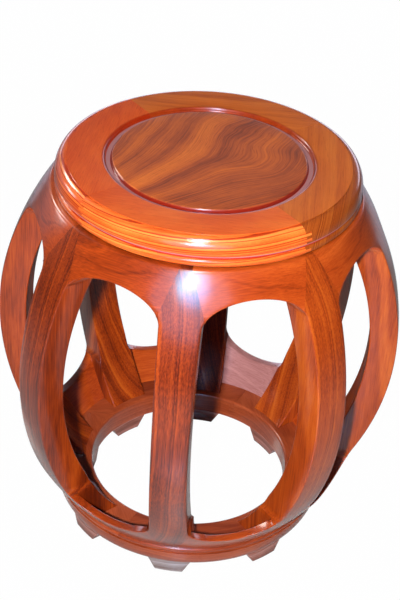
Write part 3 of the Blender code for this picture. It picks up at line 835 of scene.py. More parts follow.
# One leg's lacquer is dull, and one lower apron is greyer and paler.
LEG_DULL = replace(LEG_RED, coat=0.05, specular=0.02)
APRON_GREYER = replace(
    APRON_RED,
    tones=((0.20, 0.070, 0.064), (0.29, 0.110, 0.105), (0.38, 0.160, 0.152), (0.46, 0.205, 0.195),
           (0.54, 0.250, 0.240)))
RING_RED = WoodFinish(
    tones=((0.12, 0.015, 0.004), (0.20, 0.029, 0.008), (0.29, 0.049, 0.014), (0.38, 0.075, 0.024),
           (0.46, 0.110, 0.038)),
    band_width=0.010, band_strength=0.5, streak_width=0.0028, streak_strength=0.6,
    wave_height=0.005, wave_length=0.16, pith=(0.20, 0.05))
FOOT_BROWN = WoodFinish(
    tones=((0.11, 0.026, 0.014), (0.19, 0.052, 0.032), (0.27, 0.088, 0.062), (0.34, 0.130, 0.100),
           (0.41, 0.180, 0.145)),
    band_width=0.007, band_strength=0.5, streak_width=0.0022, streak_strength=0.6,
    wave_height=0.004, wave_length=0.10, pith=(0.10, 0.03))
# The front foot's grey tones are a painted reflection of the bright floor in front of it.
FOOT_FLOOR_REFLECTION = replace(
    FOOT_BROWN,
    tones=((0.10, 0.050, 0.042), (0.16, 0.102, 0.092), (0.22, 0.165, 0.160), (0.28, 0.225, 0.225),
           (0.34, 0.290, 0.300)))

ALONG_CHORD_FLAT = Grain(fibres=(1.0, 0.0, 0.03), rings=(0.0, 0.15, 1.0))
ALONG_CHORD_QUARTER = Grain(fibres=(1.0, 0.06, 0.0), rings=(0.0, 1.0, 0.1))
ALONG_LEG = Grain(fibres=(0.02, 0.0, 1.0), rings=(1.0, 0.14, 0.0))
ALONG_APRON = Grain(fibres=(1.0, 0.0, 0.05), rings=(0.0, 0.5, 1.0))
ACROSS_PANEL = Grain(fibres=(1.0, 0.0, 0.0), rings=(0.0, 1.0, 0.0))
ALONG_BATTEN = Grain(fibres=(0.0, 1.0, 0.0), rings=(1.0, 0.0, 0.3))


def install(mesh: bpy.types.Mesh, node: str, slot: str, azimuth: float, finish: WoodFinish,
            grain: Grain, seed: int, shade: float = 0.0, slip: Point = (0.0, 0.0)) -> None:
    """Put one copy of a finished mesh in its place on the stool and dress it.

    Args:
        mesh: The mesh, facing -Y.
        node: Name of the frame's node that the piece stands for.
        slot: The record's material slot.
        azimuth: Where the piece faces.
        finish: Its wood.
        grain: How the wood lies in it.
        seed: Picks where in the log it was sawn.
        shade: How much lighter it is than the finish's middle tone.
        slip: How far it lies off its place, along x and y.
    """
    copy = mesh.copy()
    copy.name = f"{node}_fine"
    copy.transform(Matrix.Translation((*slip, 0.0)) @ Matrix.Rotation(azimuth, 4, "Z"))
    piece = bpy.data.objects.new(f"{node}_fine", copy)
    bpy.context.scene.collection.objects.link(piece)
    low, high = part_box(node)
    middle = (Vector(low) + Vector(high)) / 2
    material = finish.material(f"{node}_{slot}", grain.turned(azimuth), middle, seed, shade)
    copy.materials.clear()
    copy.materials.append(material)
    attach(piece, ROOT_BODY)
    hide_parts(node)
    LOG.info("%s: %d faces, %s", piece.name, len(copy.polygons), slot)


@dataclass(frozen=True)
class Layout:
    """Counts, heights and clearances that the sub-assemblies share, read from the frame."""

    leg_count: int = 8
    segment_count: int = 4
    joint_gap: float = 0.0002
    seat_top: float = field(default_factory=lambda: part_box("seat_frame_front")[1][2])
    frame_bottom: float = field(default_factory=lambda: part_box("seat_frame_front")[0][2])
    side_top: float = field(default_factory=lambda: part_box("upper_apron_1")[1][2])
    side_bottom: float = field(default_factory=lambda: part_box("lower_apron_1")[0][2])
    ring_top: float = field(default_factory=lambda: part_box("base_ring_1")[1][2])
    ring_bottom: float = field(default_factory=lambda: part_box("base_ring_1")[0][2])
    foot_height: float = 0.0175
    leg_depth: float = 0.031
    upper_thickness: float = 0.012
    lower_thickness: float = 0.009
    top_tenon: Size = (0.024, 0.012, 0.0155)

    @property
    def leg_pitch(self) -> float:
        """Angle from one leg to the next."""
        return math.tau / self.leg_count

    @property
    def segment_pitch(self) -> float:
        """Angle that one segment of the seat frame or base ring covers."""
        return math.tau / self.segment_count


@dataclass(frozen=True)
class Barrel:
    """Barrel surface that the outer faces of the legs and aprons follow."""

    top: float
    bottom: float
    shoulder_radius: float = 0.167
    belly_radius: float = 0.2268
    ankle_radius: float = 0.160
    belly_rise: float = 0.0035
    shoulder_round: float = 0.0045
    shoulder_crease: float = math.radians(6)
    shoulder_steps: int = 8
    tool_reach: Point = (0.10, 0.25)
    tool_height: float = 0.02
    tool_steps: int = 24

    @cached_property
    def curve(self) -> tuple[float, float, float]:
        """Distance from the axis, height and radius of the barrel's arc."""
        belly_height = (self.top + self.bottom) / 2 + self.belly_rise
        return circle_through((self.shoulder_radius, self.top), (self.belly_radius, belly_height),
                              (self.ankle_radius, self.bottom))

    def radius(self, height: float, depth: float = 0.0) -> float:
        """Distance from the axis to the barrel surface, or to one sunk by a depth below it."""
        centre, middle, reach = self.curve
        rise = height - middle
        return centre + math.sqrt((reach - depth) ** 2 - rise * rise)

    @cached_property
    def shoulder(self) -> tuple[float, float, float]:
        """Distance from the axis, height and first angle of the rounding at the shoulder."""
        centre, middle, _ = self.curve
        height = self.top - self.shoulder_round
        out = self.radius(height, self.shoulder_round)
        return out, height, math.atan2(height - middle, out - centre)

    def face(self, height: float) -> float:
        """Distance from the axis to the outer faces, which round over at the shoulder."""
        out, middle, start = self.shoulder
        rise = height - middle
        if rise <= self.shoulder_round * math.sin(start):
            return self.radius(height)
        return out + math.sqrt(max(self.shoulder_round ** 2 - rise * rise, 0.0))

    def shoulder_tool(self, sweep: float) -> Workpiece:
        """Return the turned shape that a piece stays inside of to have its shoulder rounded.

        Args:
            sweep: Angle that the piece covers.

        Returns:
            The tool shape, facing -Y.
        """
        out, height, start = self.shoulder
        rounding = quarter((out, height), self.shoulder_round, HALF_PI,
                           start + self.shoulder_crease, self.shoulder_steps)
        near, far = self.tool_reach
        high = self.top + self.tool_height
        section = [(near, high), (out, high), *rounding, (far, rounding[-1][1]), (far, 0.0),
                   (near, 0.0)]
        return Workpiece().turn(section, self.tool_steps, -sweep / 2, sweep)


@dataclass(frozen=True)
class Window:
    """Arched end of the windows between the legs, at the top or the bottom."""

    barrel: Barrel
    pitch: float
    spring: float
    crown: float
    end: float
    spring_half_width: float = 0.0212
    core_half_width: float = 0.0242
    tip_half_width: float = 0.0062
    land: float = 0.0004

    @cached_property
    def widest(self) -> float:
        """Half angle of the window at its springing."""
        return self.pitch / 2 - math.asin(self.spring_half_width / self.barrel.radius(self.spring))

    def arch(self, angle: float) -> Point:
        """Return (half angle, height) on the arch, at an angle of its ellipse."""
        rise = self.crown - self.spring
        return self.widest * math.cos(angle), self.spring + rise * math.sin(angle)

    def leg_half_width(self, height: float) -> float:
        """Half width of the leg's core at a height past the springing."""
        share = (height - self.spring) / (self.crown - self.spring)
        if share >= 1:
            return self.core_half_width
        half_angle = self.widest * math.sqrt(1 - share * share)
        flared = self.barrel.radius(height) * math.sin(self.pitch / 2 - half_angle)
        return min(flared, self.core_half_width)

    @cached_property
    def corner_angle(self) -> float:
        """Angle of the arch's ellipse where the leg's flare meets its core."""
        low, high = 0.0, HALF_PI
        for _ in range(40):
            middle = (low + high) / 2
            half_angle, height = self.arch(middle)
            half = self.barrel.radius(height) * math.sin(self.pitch / 2 - half_angle)
            low, high = (middle, high) if half < self.core_half_width else (low, middle)
        return low

    @cached_property
    def corner(self) -> Point:
        """Corner where the leg, its pointed end and the apron meet, as (half width, height)."""
        height = self.arch(self.corner_angle)[1]
        return self.core_half_width, height + math.copysign(self.land, self.end - self.spring)

    def joint_half_width(self, height: float) -> float:
        """Half width of the leg's pointed end at a height, along the joint line or past it."""
        half, corner = self.corner
        return blend(half, self.tip_half_width, (height - corner) / (self.end - corner))


@dataclass(kw_only=True)
class FingerRing:
    """Turned ring in four segments, each with fingers at its right end and sockets at its left."""

    layout: Layout
    top: float
    bottom: float
    finger_length: float = 0.007
    finger_drop: float = 0.007
    finger_count: int = 4
    turn_steps: int = 64
    sweep_margin: float = math.radians(6)

    def section(self) -> list[Point]:
        """Return the section of the ring, outer side first, from top to bottom."""
        raise NotImplementedError

    def mortises(self) -> list[tuple[Operation, Workpiece]]:
        """Return the mortises cut into one segment."""
        return []

    def finger_edge(self, low: float, high: float, seat: float, growth: float) -> list[Point]:
        """Return the zigzag edge of a finger joint, from high to low.

        Args:
            low: Where the edge ends.
            high: Where it starts.
            seat: Where its plain parts lie, sideways.
            growth: How much taller each finger is made at either side.

        Returns:
            The points as (sideways, up).
        """
        first = self.top - self.finger_drop
        pitch = (first - self.bottom) / self.finger_count
        reach = self.finger_length + seat
        points = [(seat, high)]
        for index in range(self.finger_count):
            top = first - index * pitch + growth
            bottom = first - (index + 1 / 2) * pitch - growth
            points += [(seat, top), (reach, top), (reach, bottom), (seat, bottom)]
        return points + [(seat, low)]

    def segment(self, name: str) -> bpy.types.Mesh:
        """Return one segment of the ring, facing -Y, under the name of its mesh."""
        half = self.layout.segment_pitch / 2
        section = self.section()
        base = Workpiece().turn(section, self.turn_steps, -half - self.sweep_margin,
                                2 * (half + self.sweep_margin))
        low = min(height for _, height in section) - CUT_OVERRUN
        high = max(height for _, height in section) + CUT_OVERRUN
        far = max(radius for radius, _ in section) + CUT_OVERRUN
        near = -self.finger_length - CUT_OVERRUN
        gap = self.layout.joint_gap
        ends = []
        for side, seat, growth in ((1, 0.0, -gap / 2), (-1, gap, gap / 2)):
            outline = self.finger_edge(low, high, seat, growth)
            outline += [(-side * far, low), (-side * far, high)]
            tool = Workpiece().push(outline, near, far).face_azimuth(side * half)
            ends.append((Operation.KEEP, tool))
        return fitted(name, base, ends + self.mortises())


@dataclass(kw_only=True)
class SeatFrame(FingerRing):
    """Four finger-jointed segments round the seat: flat top, ovolo, quirk, bead and groove."""

    barrel: Barrel
    flat_radius: float = 0.1508
    ovolo_centre: Point = (0.1515, 0.4415)
    ovolo_width: float = 0.0121
    ovolo_height: float = 0.0177
    ovolo_steps: int = 18
    quirk_radius: float = 0.1607
    bead_top: float = 0.4375
    bead_width: float = 0.0028
    inner_radius: float = 0.1112
    inner_round: float = 0.0027
    cove_size: float = 0.0017
    cove_land: float = 0.0002
    cove_steps: int = 6
    groove_radius: float = 0.118
    groove_top: float = 0.4553
    groove_bottom: float = 0.4491
    seed: int = 11

    def section(self) -> list[Point]:
        """Return the section of the seat frame, outer side first, from top to bottom."""
        top, bottom = self.top, self.bottom
        ovolo = arc(self.ovolo_centre, self.ovolo_width, self.ovolo_height, HALF_PI, 0,
                    self.ovolo_steps)
        bead_half = (self.bead_top - bottom) / 2
        bead = arc((self.quirk_radius, bottom + bead_half), self.bead_width, bead_half,
                   HALF_PI, -HALF_PI, BEAD_STEPS)
        inside = [
            (self.inner_radius, bottom),
            (self.inner_radius, self.groove_bottom),
            (self.groove_radius, self.groove_bottom),
            (self.groove_radius, self.groove_top),
            (self.inner_radius - self.cove_size, self.groove_top),
        ]
        cove = quarter((self.inner_radius - self.cove_size,
                        self.groove_top + self.cove_land + self.cove_size),
                       self.cove_size, -HALF_PI, 0, self.cove_steps)
        lip = quarter((self.inner_radius + self.inner_round, top - self.inner_round),
                      self.inner_round, math.pi, HALF_PI, LIP_STEPS)
        rim = [(self.flat_radius, top), (self.flat_radius, ovolo[0][1])]
        quirk = [(self.quirk_radius, self.ovolo_centre[1])]
        return rim + ovolo + quirk + bead + inside + cove + lip

    def mortises(self) -> list[tuple[Operation, Workpiece]]:
        """Return the mortises for the leg heads of one segment."""
        top = self.layout.side_top
        middle = (self.barrel.radius(top, self.layout.leg_depth)
                  + self.barrel.radius(top, self.layout.upper_thickness)) / 2
        gap = self.layout.joint_gap + max(SEAT_SLIP)
        size = [side + 2 * gap for side in self.layout.top_tenon]
        size[2] += CUT_OVERRUN
        centre = (0.0, middle, top - CUT_OVERRUN + size[2] / 2)
        half = self.layout.segment_pitch / 2
        return [(Operation.CUT, Workpiece().block(size, centre).face_azimuth(angle - SEAT_TWIST))
                for angle in (-half, 0.0, half)]

    def build(self) -> None:
        """Make the four segments and dress them."""
        mesh = self.segment("seat_frame_segment")
        looks = {
            "front": (FRAME_ORANGE, ALONG_CHORD_FLAT, 0.04),
            "right": (FRAME_TAN, ALONG_CHORD_QUARTER, 0.05),
            "back": (FRAME_TAN, ALONG_CHORD_QUARTER, 0.0),
            "left": (FRAME_ORANGE, ALONG_CHORD_FLAT, -0.05),
        }
        for index, (side, (finish, grain, shade)) in enumerate(looks.items()):
            install(mesh, f"seat_frame_{side}", "frame_wood",
                    index * self.layout.segment_pitch + SEAT_TWIST, finish, grain,
                    self.seed + index, shade, SEAT_SLIP)


@dataclass
class SeatPanel:
    """Round figured panel with a rounded arris and a tongue, and two battens under it."""

    layout: Layout
    field_radius: float = 0.1038
    field_drop: float = 0.001
    field_round: float = 0.0022
    field_rings: int = 6
    tongue_radius: float = 0.1168
    tongue_top: float = 0.455
    tongue_bottom: float = 0.4494
    turn_steps: int = 160
    batten_spread: float = 0.090
    batten_size: Size = (0.022, 0.2224, 0.0142)
    batten_top: float = 0.4491
    batten_reach: float = 0.1109
    batten_tenon_reach: float = 0.1129
    batten_tenon_height: float = 0.008
    batten_soften: float = 0.0008
    panel_seed: int = 3
    batten_seed: int = 5

    def section(self) -> list[Point]:
        """Return the section of the panel from the middle of its top to that of its underside."""
        top = self.layout.seat_top - self.field_drop
        edge = quarter((self.field_radius - self.field_round, top - self.field_round),
                       self.field_round, HALF_PI, 0, 6)
        rings = [(self.field_radius * ring / self.field_rings, top)
                 for ring in range(self.field_rings)]
        tongue = [
            (self.field_radius, self.tongue_top),
            (self.tongue_radius, self.tongue_top),
            (self.tongue_radius, self.tongue_bottom),
            (0.0, self.tongue_bottom),
        ]
        return rings + edge + tongue

    def batten(self) -> bpy.types.Mesh:
        """Return the right-hand batten, its shoulders coped to the round frame."""
        middle = self.batten_top - self.batten_size[2] / 2
        place = (self.batten_spread / 2, 0.0, middle)
        bar = Workpiece().block(self.batten_size, place)
        bar.soften(self.batten_soften, 2, lambda edge: abs(edge.verts[0].co.y - edge.verts[1].co.y)
                   > self.batten_size[0])
        low, high = middle - self.batten_size[2], middle + self.batten_size[2]
        reach = self.batten_reach
        inside = Workpiece().turn([(0.0, high), (reach, high), (reach, low), (0.0, low)],
                                  self.turn_steps, closed=False)
        tenon_size = (self.batten_size[0], 2 * self.batten_tenon_reach, self.batten_tenon_height)
        tenon = Workpiece().block(tenon_size, place)
        return fitted("panel_batten", bar, [(Operation.KEEP, inside), (Operation.JOIN, tenon)])

    def build(self) -> None:
        """Make the panel and its battens and dress them."""
        disc = Workpiece().turn(self.section(), self.turn_steps, closed=False)
        install(fitted("seat_panel", disc), "seat_panel", "panel_wood", 0.0, PANEL_FIGURE,
                ACROSS_PANEL, self.panel_seed, slip=SEAT_SLIP)
        batten = self.batten()
        for index, (side, azimuth) in enumerate((("right", 0.0), ("left", math.pi))):
            install(batten, f"panel_batten_{side}", "batten_wood", azimuth, FOOT_BROWN,
                    ALONG_BATTEN, self.batten_seed + index, slip=SEAT_SLIP)


@dataclass
class Legs:
    """Eight bowed legs whose pointed heads and feet are let in between the aprons."""

    layout: Layout
    barrel: Barrel
    upper: Window
    lower: Window
    waist_inset: float = 0.00185
    heel_depth: float = 0.0265
    heel_height: float = 0.115
    arris_round: float = 0.0014
    arris_steps: int = 4
    bottom_tenon: Size = (0.024, 0.008, 0.0131)
    columns: int = 10
    flare_rows: int = 8
    end_rows: int = 8
    waist_rows: int = 44
    recess_grid: tuple[int, int] = (6, 12)
    seed: int = 20
    # The fifth leg, behind the front leg, is toned darker as painted shade of the front leg's
    # shadow.
    shades: tuple[float, ...] = (-0.12, 0.06, 0.07, 0.08, -0.14, -0.02, 0.00, -0.12)
    dull_leg: int = 5

    def inner_radius(self, height: float) -> float:
        """Distance from the axis to the inner face; the leg thins towards its heel."""
        share = max(0.0, (self.heel_height - height) / (self.heel_height - self.layout.side_bottom))
        depth = blend(self.layout.leg_depth, self.heel_depth, share * (2 - share))
        return self.barrel.radius(height, depth)

    def half_width(self, height: float) -> float:
        """Half width of the leg's core, waisted between the springings and flared past them."""
        if height > self.upper.spring:
            return self.upper.leg_half_width(height)
        if height < self.lower.spring:
            return self.lower.leg_half_width(height)
        middle = (self.upper.spring + self.lower.spring) / 2
        share = (height - middle) / (self.upper.spring - middle)
        return self.upper.spring_half_width - self.waist_inset * (1 - share * share)

    def levels(self) -> list[float]:
        """Return the heights of the leg's rows, close together where it curves fast."""
        flare_low = [self.lower.arch(angle)[1]
                     for angle in spread(self.lower.corner_angle, 0.0, self.flare_rows)]
        waist = spread(self.lower.spring, self.upper.spring, self.waist_rows)
        flare_high = [self.upper.arch(angle)[1]
                      for angle in spread(0.0, self.upper.corner_angle, self.flare_rows)]
        foot = spread(self.layout.side_bottom, flare_low[0], self.end_rows)
        head = spread(flare_high[-1], self.layout.side_top, self.end_rows)
        return foot + flare_low[1:] + waist[1:] + flare_high[1:] + head[1:]

    def core(self) -> Workpiece:
        """Return the leg before its ends are recessed for the aprons."""
        levels = self.levels()
        rows = len(levels) - 1

        def face(across: float, up: float, radius: Callable[[float], float]) -> Vector:
            """Return a point of the face whose radius at each height is given."""
            height = levels[round(up * rows)]
            sideways = blend(-1.0, 1.0, across) * self.half_width(height)
            return on_wall(sideways, radius(height), height)

        piece = Workpiece().board(self.columns, rows, face, self.barrel.radius,
                                  self.inner_radius)

        def long_arris(edge: bmesh.types.BMEdge) -> bool:
            """Say whether an edge is one of the four long corners of the leg."""
            first, second = (vert.co for vert in edge.verts)
            upright = abs(first.z - second.z) > MERGE_DISTANCE
            return upright and edge.calc_face_angle(0.0) > CORNER_ANGLE

        return piece.soften(self.arris_round, self.arris_steps, long_arris)

    def recess(self, window: Window, thickness: float, side: int) -> Workpiece:
        """Return the shape cut off a pointed end for the apron on one side.

        Args:
            window: The arched end of the window beside it.
            thickness: Thickness of the apron.
            side: -1 for the left of the leg, 1 for its right.

        Returns:
            The tool shape.
        """
        corner = window.corner[1]
        outwards = math.copysign(CUT_OVERRUN, window.end - window.spring)
        start, end = corner - outwards, window.end + outwards
        depth = thickness + self.layout.joint_gap

        def wall(across: float, up: float, sunk: float) -> Vector:
            """Return a point of the recess at a depth below the barrel surface."""
            height = blend(start, end, up)
            near = window.joint_half_width(height)
            sideways = side * blend(near, 2 * window.core_half_width, across)
            return on_wall(sideways, self.barrel.radius(height, sunk), height)

        return Workpiece().board(*self.recess_grid, wall, -CUT_OVERRUN, depth)

    def tenon(self, size: Sequence[float], inner: float, outer: float, seat: float,
              outwards: int) -> Workpiece:
        """Return a tenon that stands on the leg's head or foot.

        Args:
            size: Width, depth and length.
            inner: Distance of the wood's inner side from the axis.
            outer: Distance of its outer side.
            seat: Height of the shoulder.
            outwards: 1 for the head, -1 for the foot.

        Returns:
            The tool shape.
        """
        length = size[2] + CUT_OVERRUN
        centre = (0.0, (inner + outer) / 2, seat + outwards * (length / 2 - CUT_OVERRUN))
        return Workpiece().block((size[0], size[1], length), centre)

    def mesh(self) -> bpy.types.Mesh:
        """Return one leg, facing -Y."""
        steps = [(Operation.CUT, self.recess(window, thickness, side))
                 for window, thickness in ((self.upper, self.layout.upper_thickness),
                                           (self.lower, self.layout.lower_thickness))
                 for side in (-1, 1)]
        steps.append((Operation.KEEP, self.barrel.shoulder_tool(self.layout.leg_pitch)))
        top, bottom = self.layout.side_top, self.layout.side_bottom
        head = self.tenon(self.layout.top_tenon, self.barrel.radius(top, self.layout.leg_depth),
                          self.barrel.radius(top, self.layout.upper_thickness), top, 1)
        foot = self.tenon(self.bottom_tenon, self.barrel.radius(bottom, self.heel_depth),
                          self.barrel.radius(bottom, self.layout.lower_thickness), bottom, -1)
        return fitted("leg", self.core(), steps + [(Operation.JOIN, head), (Operation.JOIN, foot)])

    def build(self) -> None:
        """Make the eight legs and dress them."""
        mesh = self.mesh()
        for index in range(self.layout.leg_count):
            finish = LEG_DULL if index + 1 == self.dull_leg else LEG_RED
            install(mesh, f"leg_{index + 1}", "leg_wood", index * self.layout.leg_pitch, finish,
                    ALONG_LEG, self.seed + index, self.shades[index])


@dataclass
class Aprons:
    """Curved boards between the legs, arched towards the window."""

    layout: Layout
    barrel: Barrel
    window: Window
    thickness: float
    node: str
    slot: str
    finish: WoodFinish
    seed: int
    shades: tuple[float, ...] = (0.03, 0.03, 0.0, 0.04, 0.08, 0.0, -0.04, -0.10)
    greyer_apron: int | None = None
    arris_round: float = 0.0014
    arris_steps: int = 4
    columns: int = 56
    rows: int = 14
    FADE = 6

    def wall(self, height: float, depth: float) -> float:
        """Distance from the axis to the apron's face, or to its back when a depth is given."""
        return self.barrel.radius(height, depth) if depth else self.barrel.face(height)

    def joint_azimuth(self, height: float, depth: float) -> float:
        """Half angle of the apron at a height, where its end meets the leg's pointed end."""
        half = self.window.joint_half_width(height) + self.layout.joint_gap
        return self.layout.leg_pitch / 2 - math.asin(half / self.wall(height, depth))

    def place(self, across: float, up: float, depth: float) -> Vector:
        """Return a point of the apron.

        Args:
            across: Share of the way from its left end to its right end.
            up: Share of the way from the arch to the straight edge.
            depth: Depth below the barrel surface.

        Returns:
            The point, facing -Y.
        """
        tip = self.window.corner_angle
        up = 1 - (1 - up) ** 2
        angle = blend(math.pi - tip, tip, across)
        side = blend(-1.0, 1.0, across)
        half_angle, foot = self.window.arch(angle)
        height = blend(foot, self.window.end, up)
        edge_foot = self.window.arch(tip)[1]
        edge_height = blend(edge_foot, self.window.end, up)
        straight = blend(self.joint_azimuth(edge_foot, 0.0),
                         self.joint_azimuth(self.window.end, 0.0), up)
        azimuth = blend(half_angle, side * self.joint_azimuth(self.window.end, 0.0), up)
        pull = abs(side) ** self.FADE
        azimuth += math.copysign(pull, side) * (self.joint_azimuth(edge_height, 0.0) - straight)
        outer, sunk = self.barrel.radius(height), self.wall(height, depth)
        square = math.asin(min(1.0, outer * math.sin(azimuth) / sunk)) if depth else azimuth
        at_joint = math.copysign(1.0, side) * self.joint_azimuth(edge_height, depth)
        azimuth = blend(square, at_joint, pull) if depth else azimuth
        return Vector((sunk * math.sin(azimuth), -sunk * math.cos(azimuth), height))

    def mesh(self) -> bpy.types.Mesh:
        """Return one apron, facing -Y."""
        piece = Workpiece().board(self.columns, self.rows, self.place, 0.0, self.thickness)
        end = self.window.end

        def arch_arris(edge: bmesh.types.BMEdge) -> bool:
            """Say whether an edge runs along the arch, at the face or the back."""
            if edge.calc_face_angle(0.0) < CORNER_ANGLE:
                return False
            middle = (edge.verts[0].co + edge.verts[1].co) / 2
            half = math.atan2(abs(middle.x), -middle.y)
            at_joint = self.layout.leg_pitch / 2 - self.joint_half_angle(middle)
            return abs(middle.z - end) > MERGE_DISTANCE and half < at_joint

        piece.soften(self.arris_round, self.arris_steps, arch_arris)
        return fitted(self.node, piece)

    def joint_half_angle(self, point: Vector) -> float:
        """Angle from the leg's middle to just inside the joint, at a point's height and depth."""
        radius = math.hypot(point.x, point.y)
        half = self.window.joint_half_width(point.z) + 4 * self.layout.joint_gap
        return math.asin(half / radius)

    def build(self) -> None:
        """Make the eight aprons and dress them."""
        mesh = self.mesh()
        for index in range(self.layout.leg_count):
            finish = APRON_GREYER if index + 1 == self.greyer_apron else self.finish
            install(mesh, f"{self.node}_{index + 1}", self.slot,
                    (index + 1 / 2) * self.layout.leg_pitch, finish, ALONG_APRON,
                    self.seed + index, self.shades[index])


@dataclass(kw_only=True)
class BaseRing(FingerRing):
    """Four finger-jointed segments of the ring that the legs stand on."""

    bead_radius: float = 0.158
    bead_width: float = 0.0032
    bead_height: float = 0.0065
    quirk_height: float = 0.002
    ovolo_radius: float = 0.1606
    sole_radius: float = 0.1547
    hole_radius: float = 0.1176
    inner_round: float = 0.003
    finger_drop: float = 0.006
    finger_count: int = 3
    seed: int = 50

    def section(self) -> list[Point]:
        """Return the section of the base ring, outer side first, from top to bottom."""
        top, bottom = self.top, self.bottom
        bead_half = self.bead_height / 2
        bead = arc((self.bead_radius, top - bead_half), self.bead_width, bead_half,
                   HALF_PI, -HALF_PI, BEAD_STEPS)
        ovolo_top = top - self.bead_height - self.quirk_height
        ovolo = arc((self.sole_radius, ovolo_top), self.ovolo_radius - self.sole_radius,
                    ovolo_top - bottom, 0, -HALF_PI, BEAD_STEPS)
        lip = quarter((self.hole_radius + self.inner_round, top - self.inner_round),
                      self.inner_round, math.pi, HALF_PI, LIP_STEPS)
        return bead + [(self.bead_radius, ovolo_top)] + ovolo + [(self.hole_radius, bottom)] + lip

    def build(self) -> None:
        """Make the four segments and dress them."""
        mesh = self.segment("base_ring_segment")
        for index in range(self.layout.segment_count):
            azimuth = index * self.layout.segment_pitch + self.layout.leg_pitch / 2
            install(mesh, f"base_ring_{index + 1}", "ring_wood", azimuth, RING_RED,
                    ALONG_CHORD_FLAT, self.seed + index)


@dataclass
class Feet:
    """Tapered foot blocks under the base ring, one below each leg."""

    layout: Layout
    top_width: float = 0.051
    sole_width: float = 0.032
    inner_radius: float = 0.1181
    outer_radius: float = 0.1542
    arris_round: float = 0.0009
    arris_steps: int = 3
    arris_angle: float = 0.8
    columns: int = 8
    rows: int = 3
    slip_degrees: tuple[float, ...] = (-0.5, -1.5, 0.0, -2.0, 0.0, 3.0, 0.0, 0.5)
    # The first foot's greyer tone is a painted reflection of the floor.
    floor_reflecting_foot: int = 1
    seed: int = 60

    def mesh(self) -> bpy.types.Mesh:
        """Return one foot block, facing -Y."""
        height = self.layout.foot_height

        def place(across: float, up: float, radius: float) -> Vector:
            """Return a point of the block on a round wall."""
            half = blend(self.sole_width, self.top_width, up) / 2
            return on_wall(blend(-half, half, across), radius, up * height)

        piece = Workpiece().board(self.columns, self.rows, place, self.outer_radius,
                                  self.inner_radius)
        piece.soften(self.arris_round, self.arris_steps,
                     lambda edge: edge.calc_face_angle(0.0) > self.arris_angle)
        return fitted("foot", piece)

    def build(self) -> None:
        """Make the eight foot blocks and dress them."""
        mesh = self.mesh()
        for index in range(self.layout.leg_count):
            azimuth = index * self.layout.leg_pitch + math.radians(self.slip_degrees[index])
            finish = FOOT_FLOOR_REFLECTION if index + 1 == self.floor_reflecting_foot else FOOT_BROWN
            install(mesh, f"foot_{index + 1}", "foot_wood", azimuth, finish,
                    ALONG_CHORD_FLAT, self.seed + index)


class LampUse(Enum):
    """What a lamp is for, named by the kind of ray that does not meet it."""

    LIGHT = "visible_glossy"
    SHINE = "visible_diffuse"


@dataclass(frozen=True)
class Lamp:
    """One oval area light that faces the middle of the stool."""

    name: str
    place: Size
    size: Point
    power: float
    colour: Colour = WHITE
    use: LampUse = LampUse.SHINE

    AIM = (0.0, 0.0, 0.3)

    def hang(self) -> None:
        """Hang the light in the scene."""
        data = bpy.data.lights.new(self.name, "AREA")
        data.shape = "ELLIPSE"
        data.size, data.size_y = self.size
        data.energy = self.power
        data.color = self.colour
        item = bpy.data.objects.new(self.name, data)
        item.location = self.place
        towards = Vector(self.AIM) - Vector(self.place)
        item.rotation_euler = towards.to_track_quat("-Z", "Y").to_euler()
        bpy.context.scene.collection.objects.link(item)
        setattr(item, self.use.value, False)


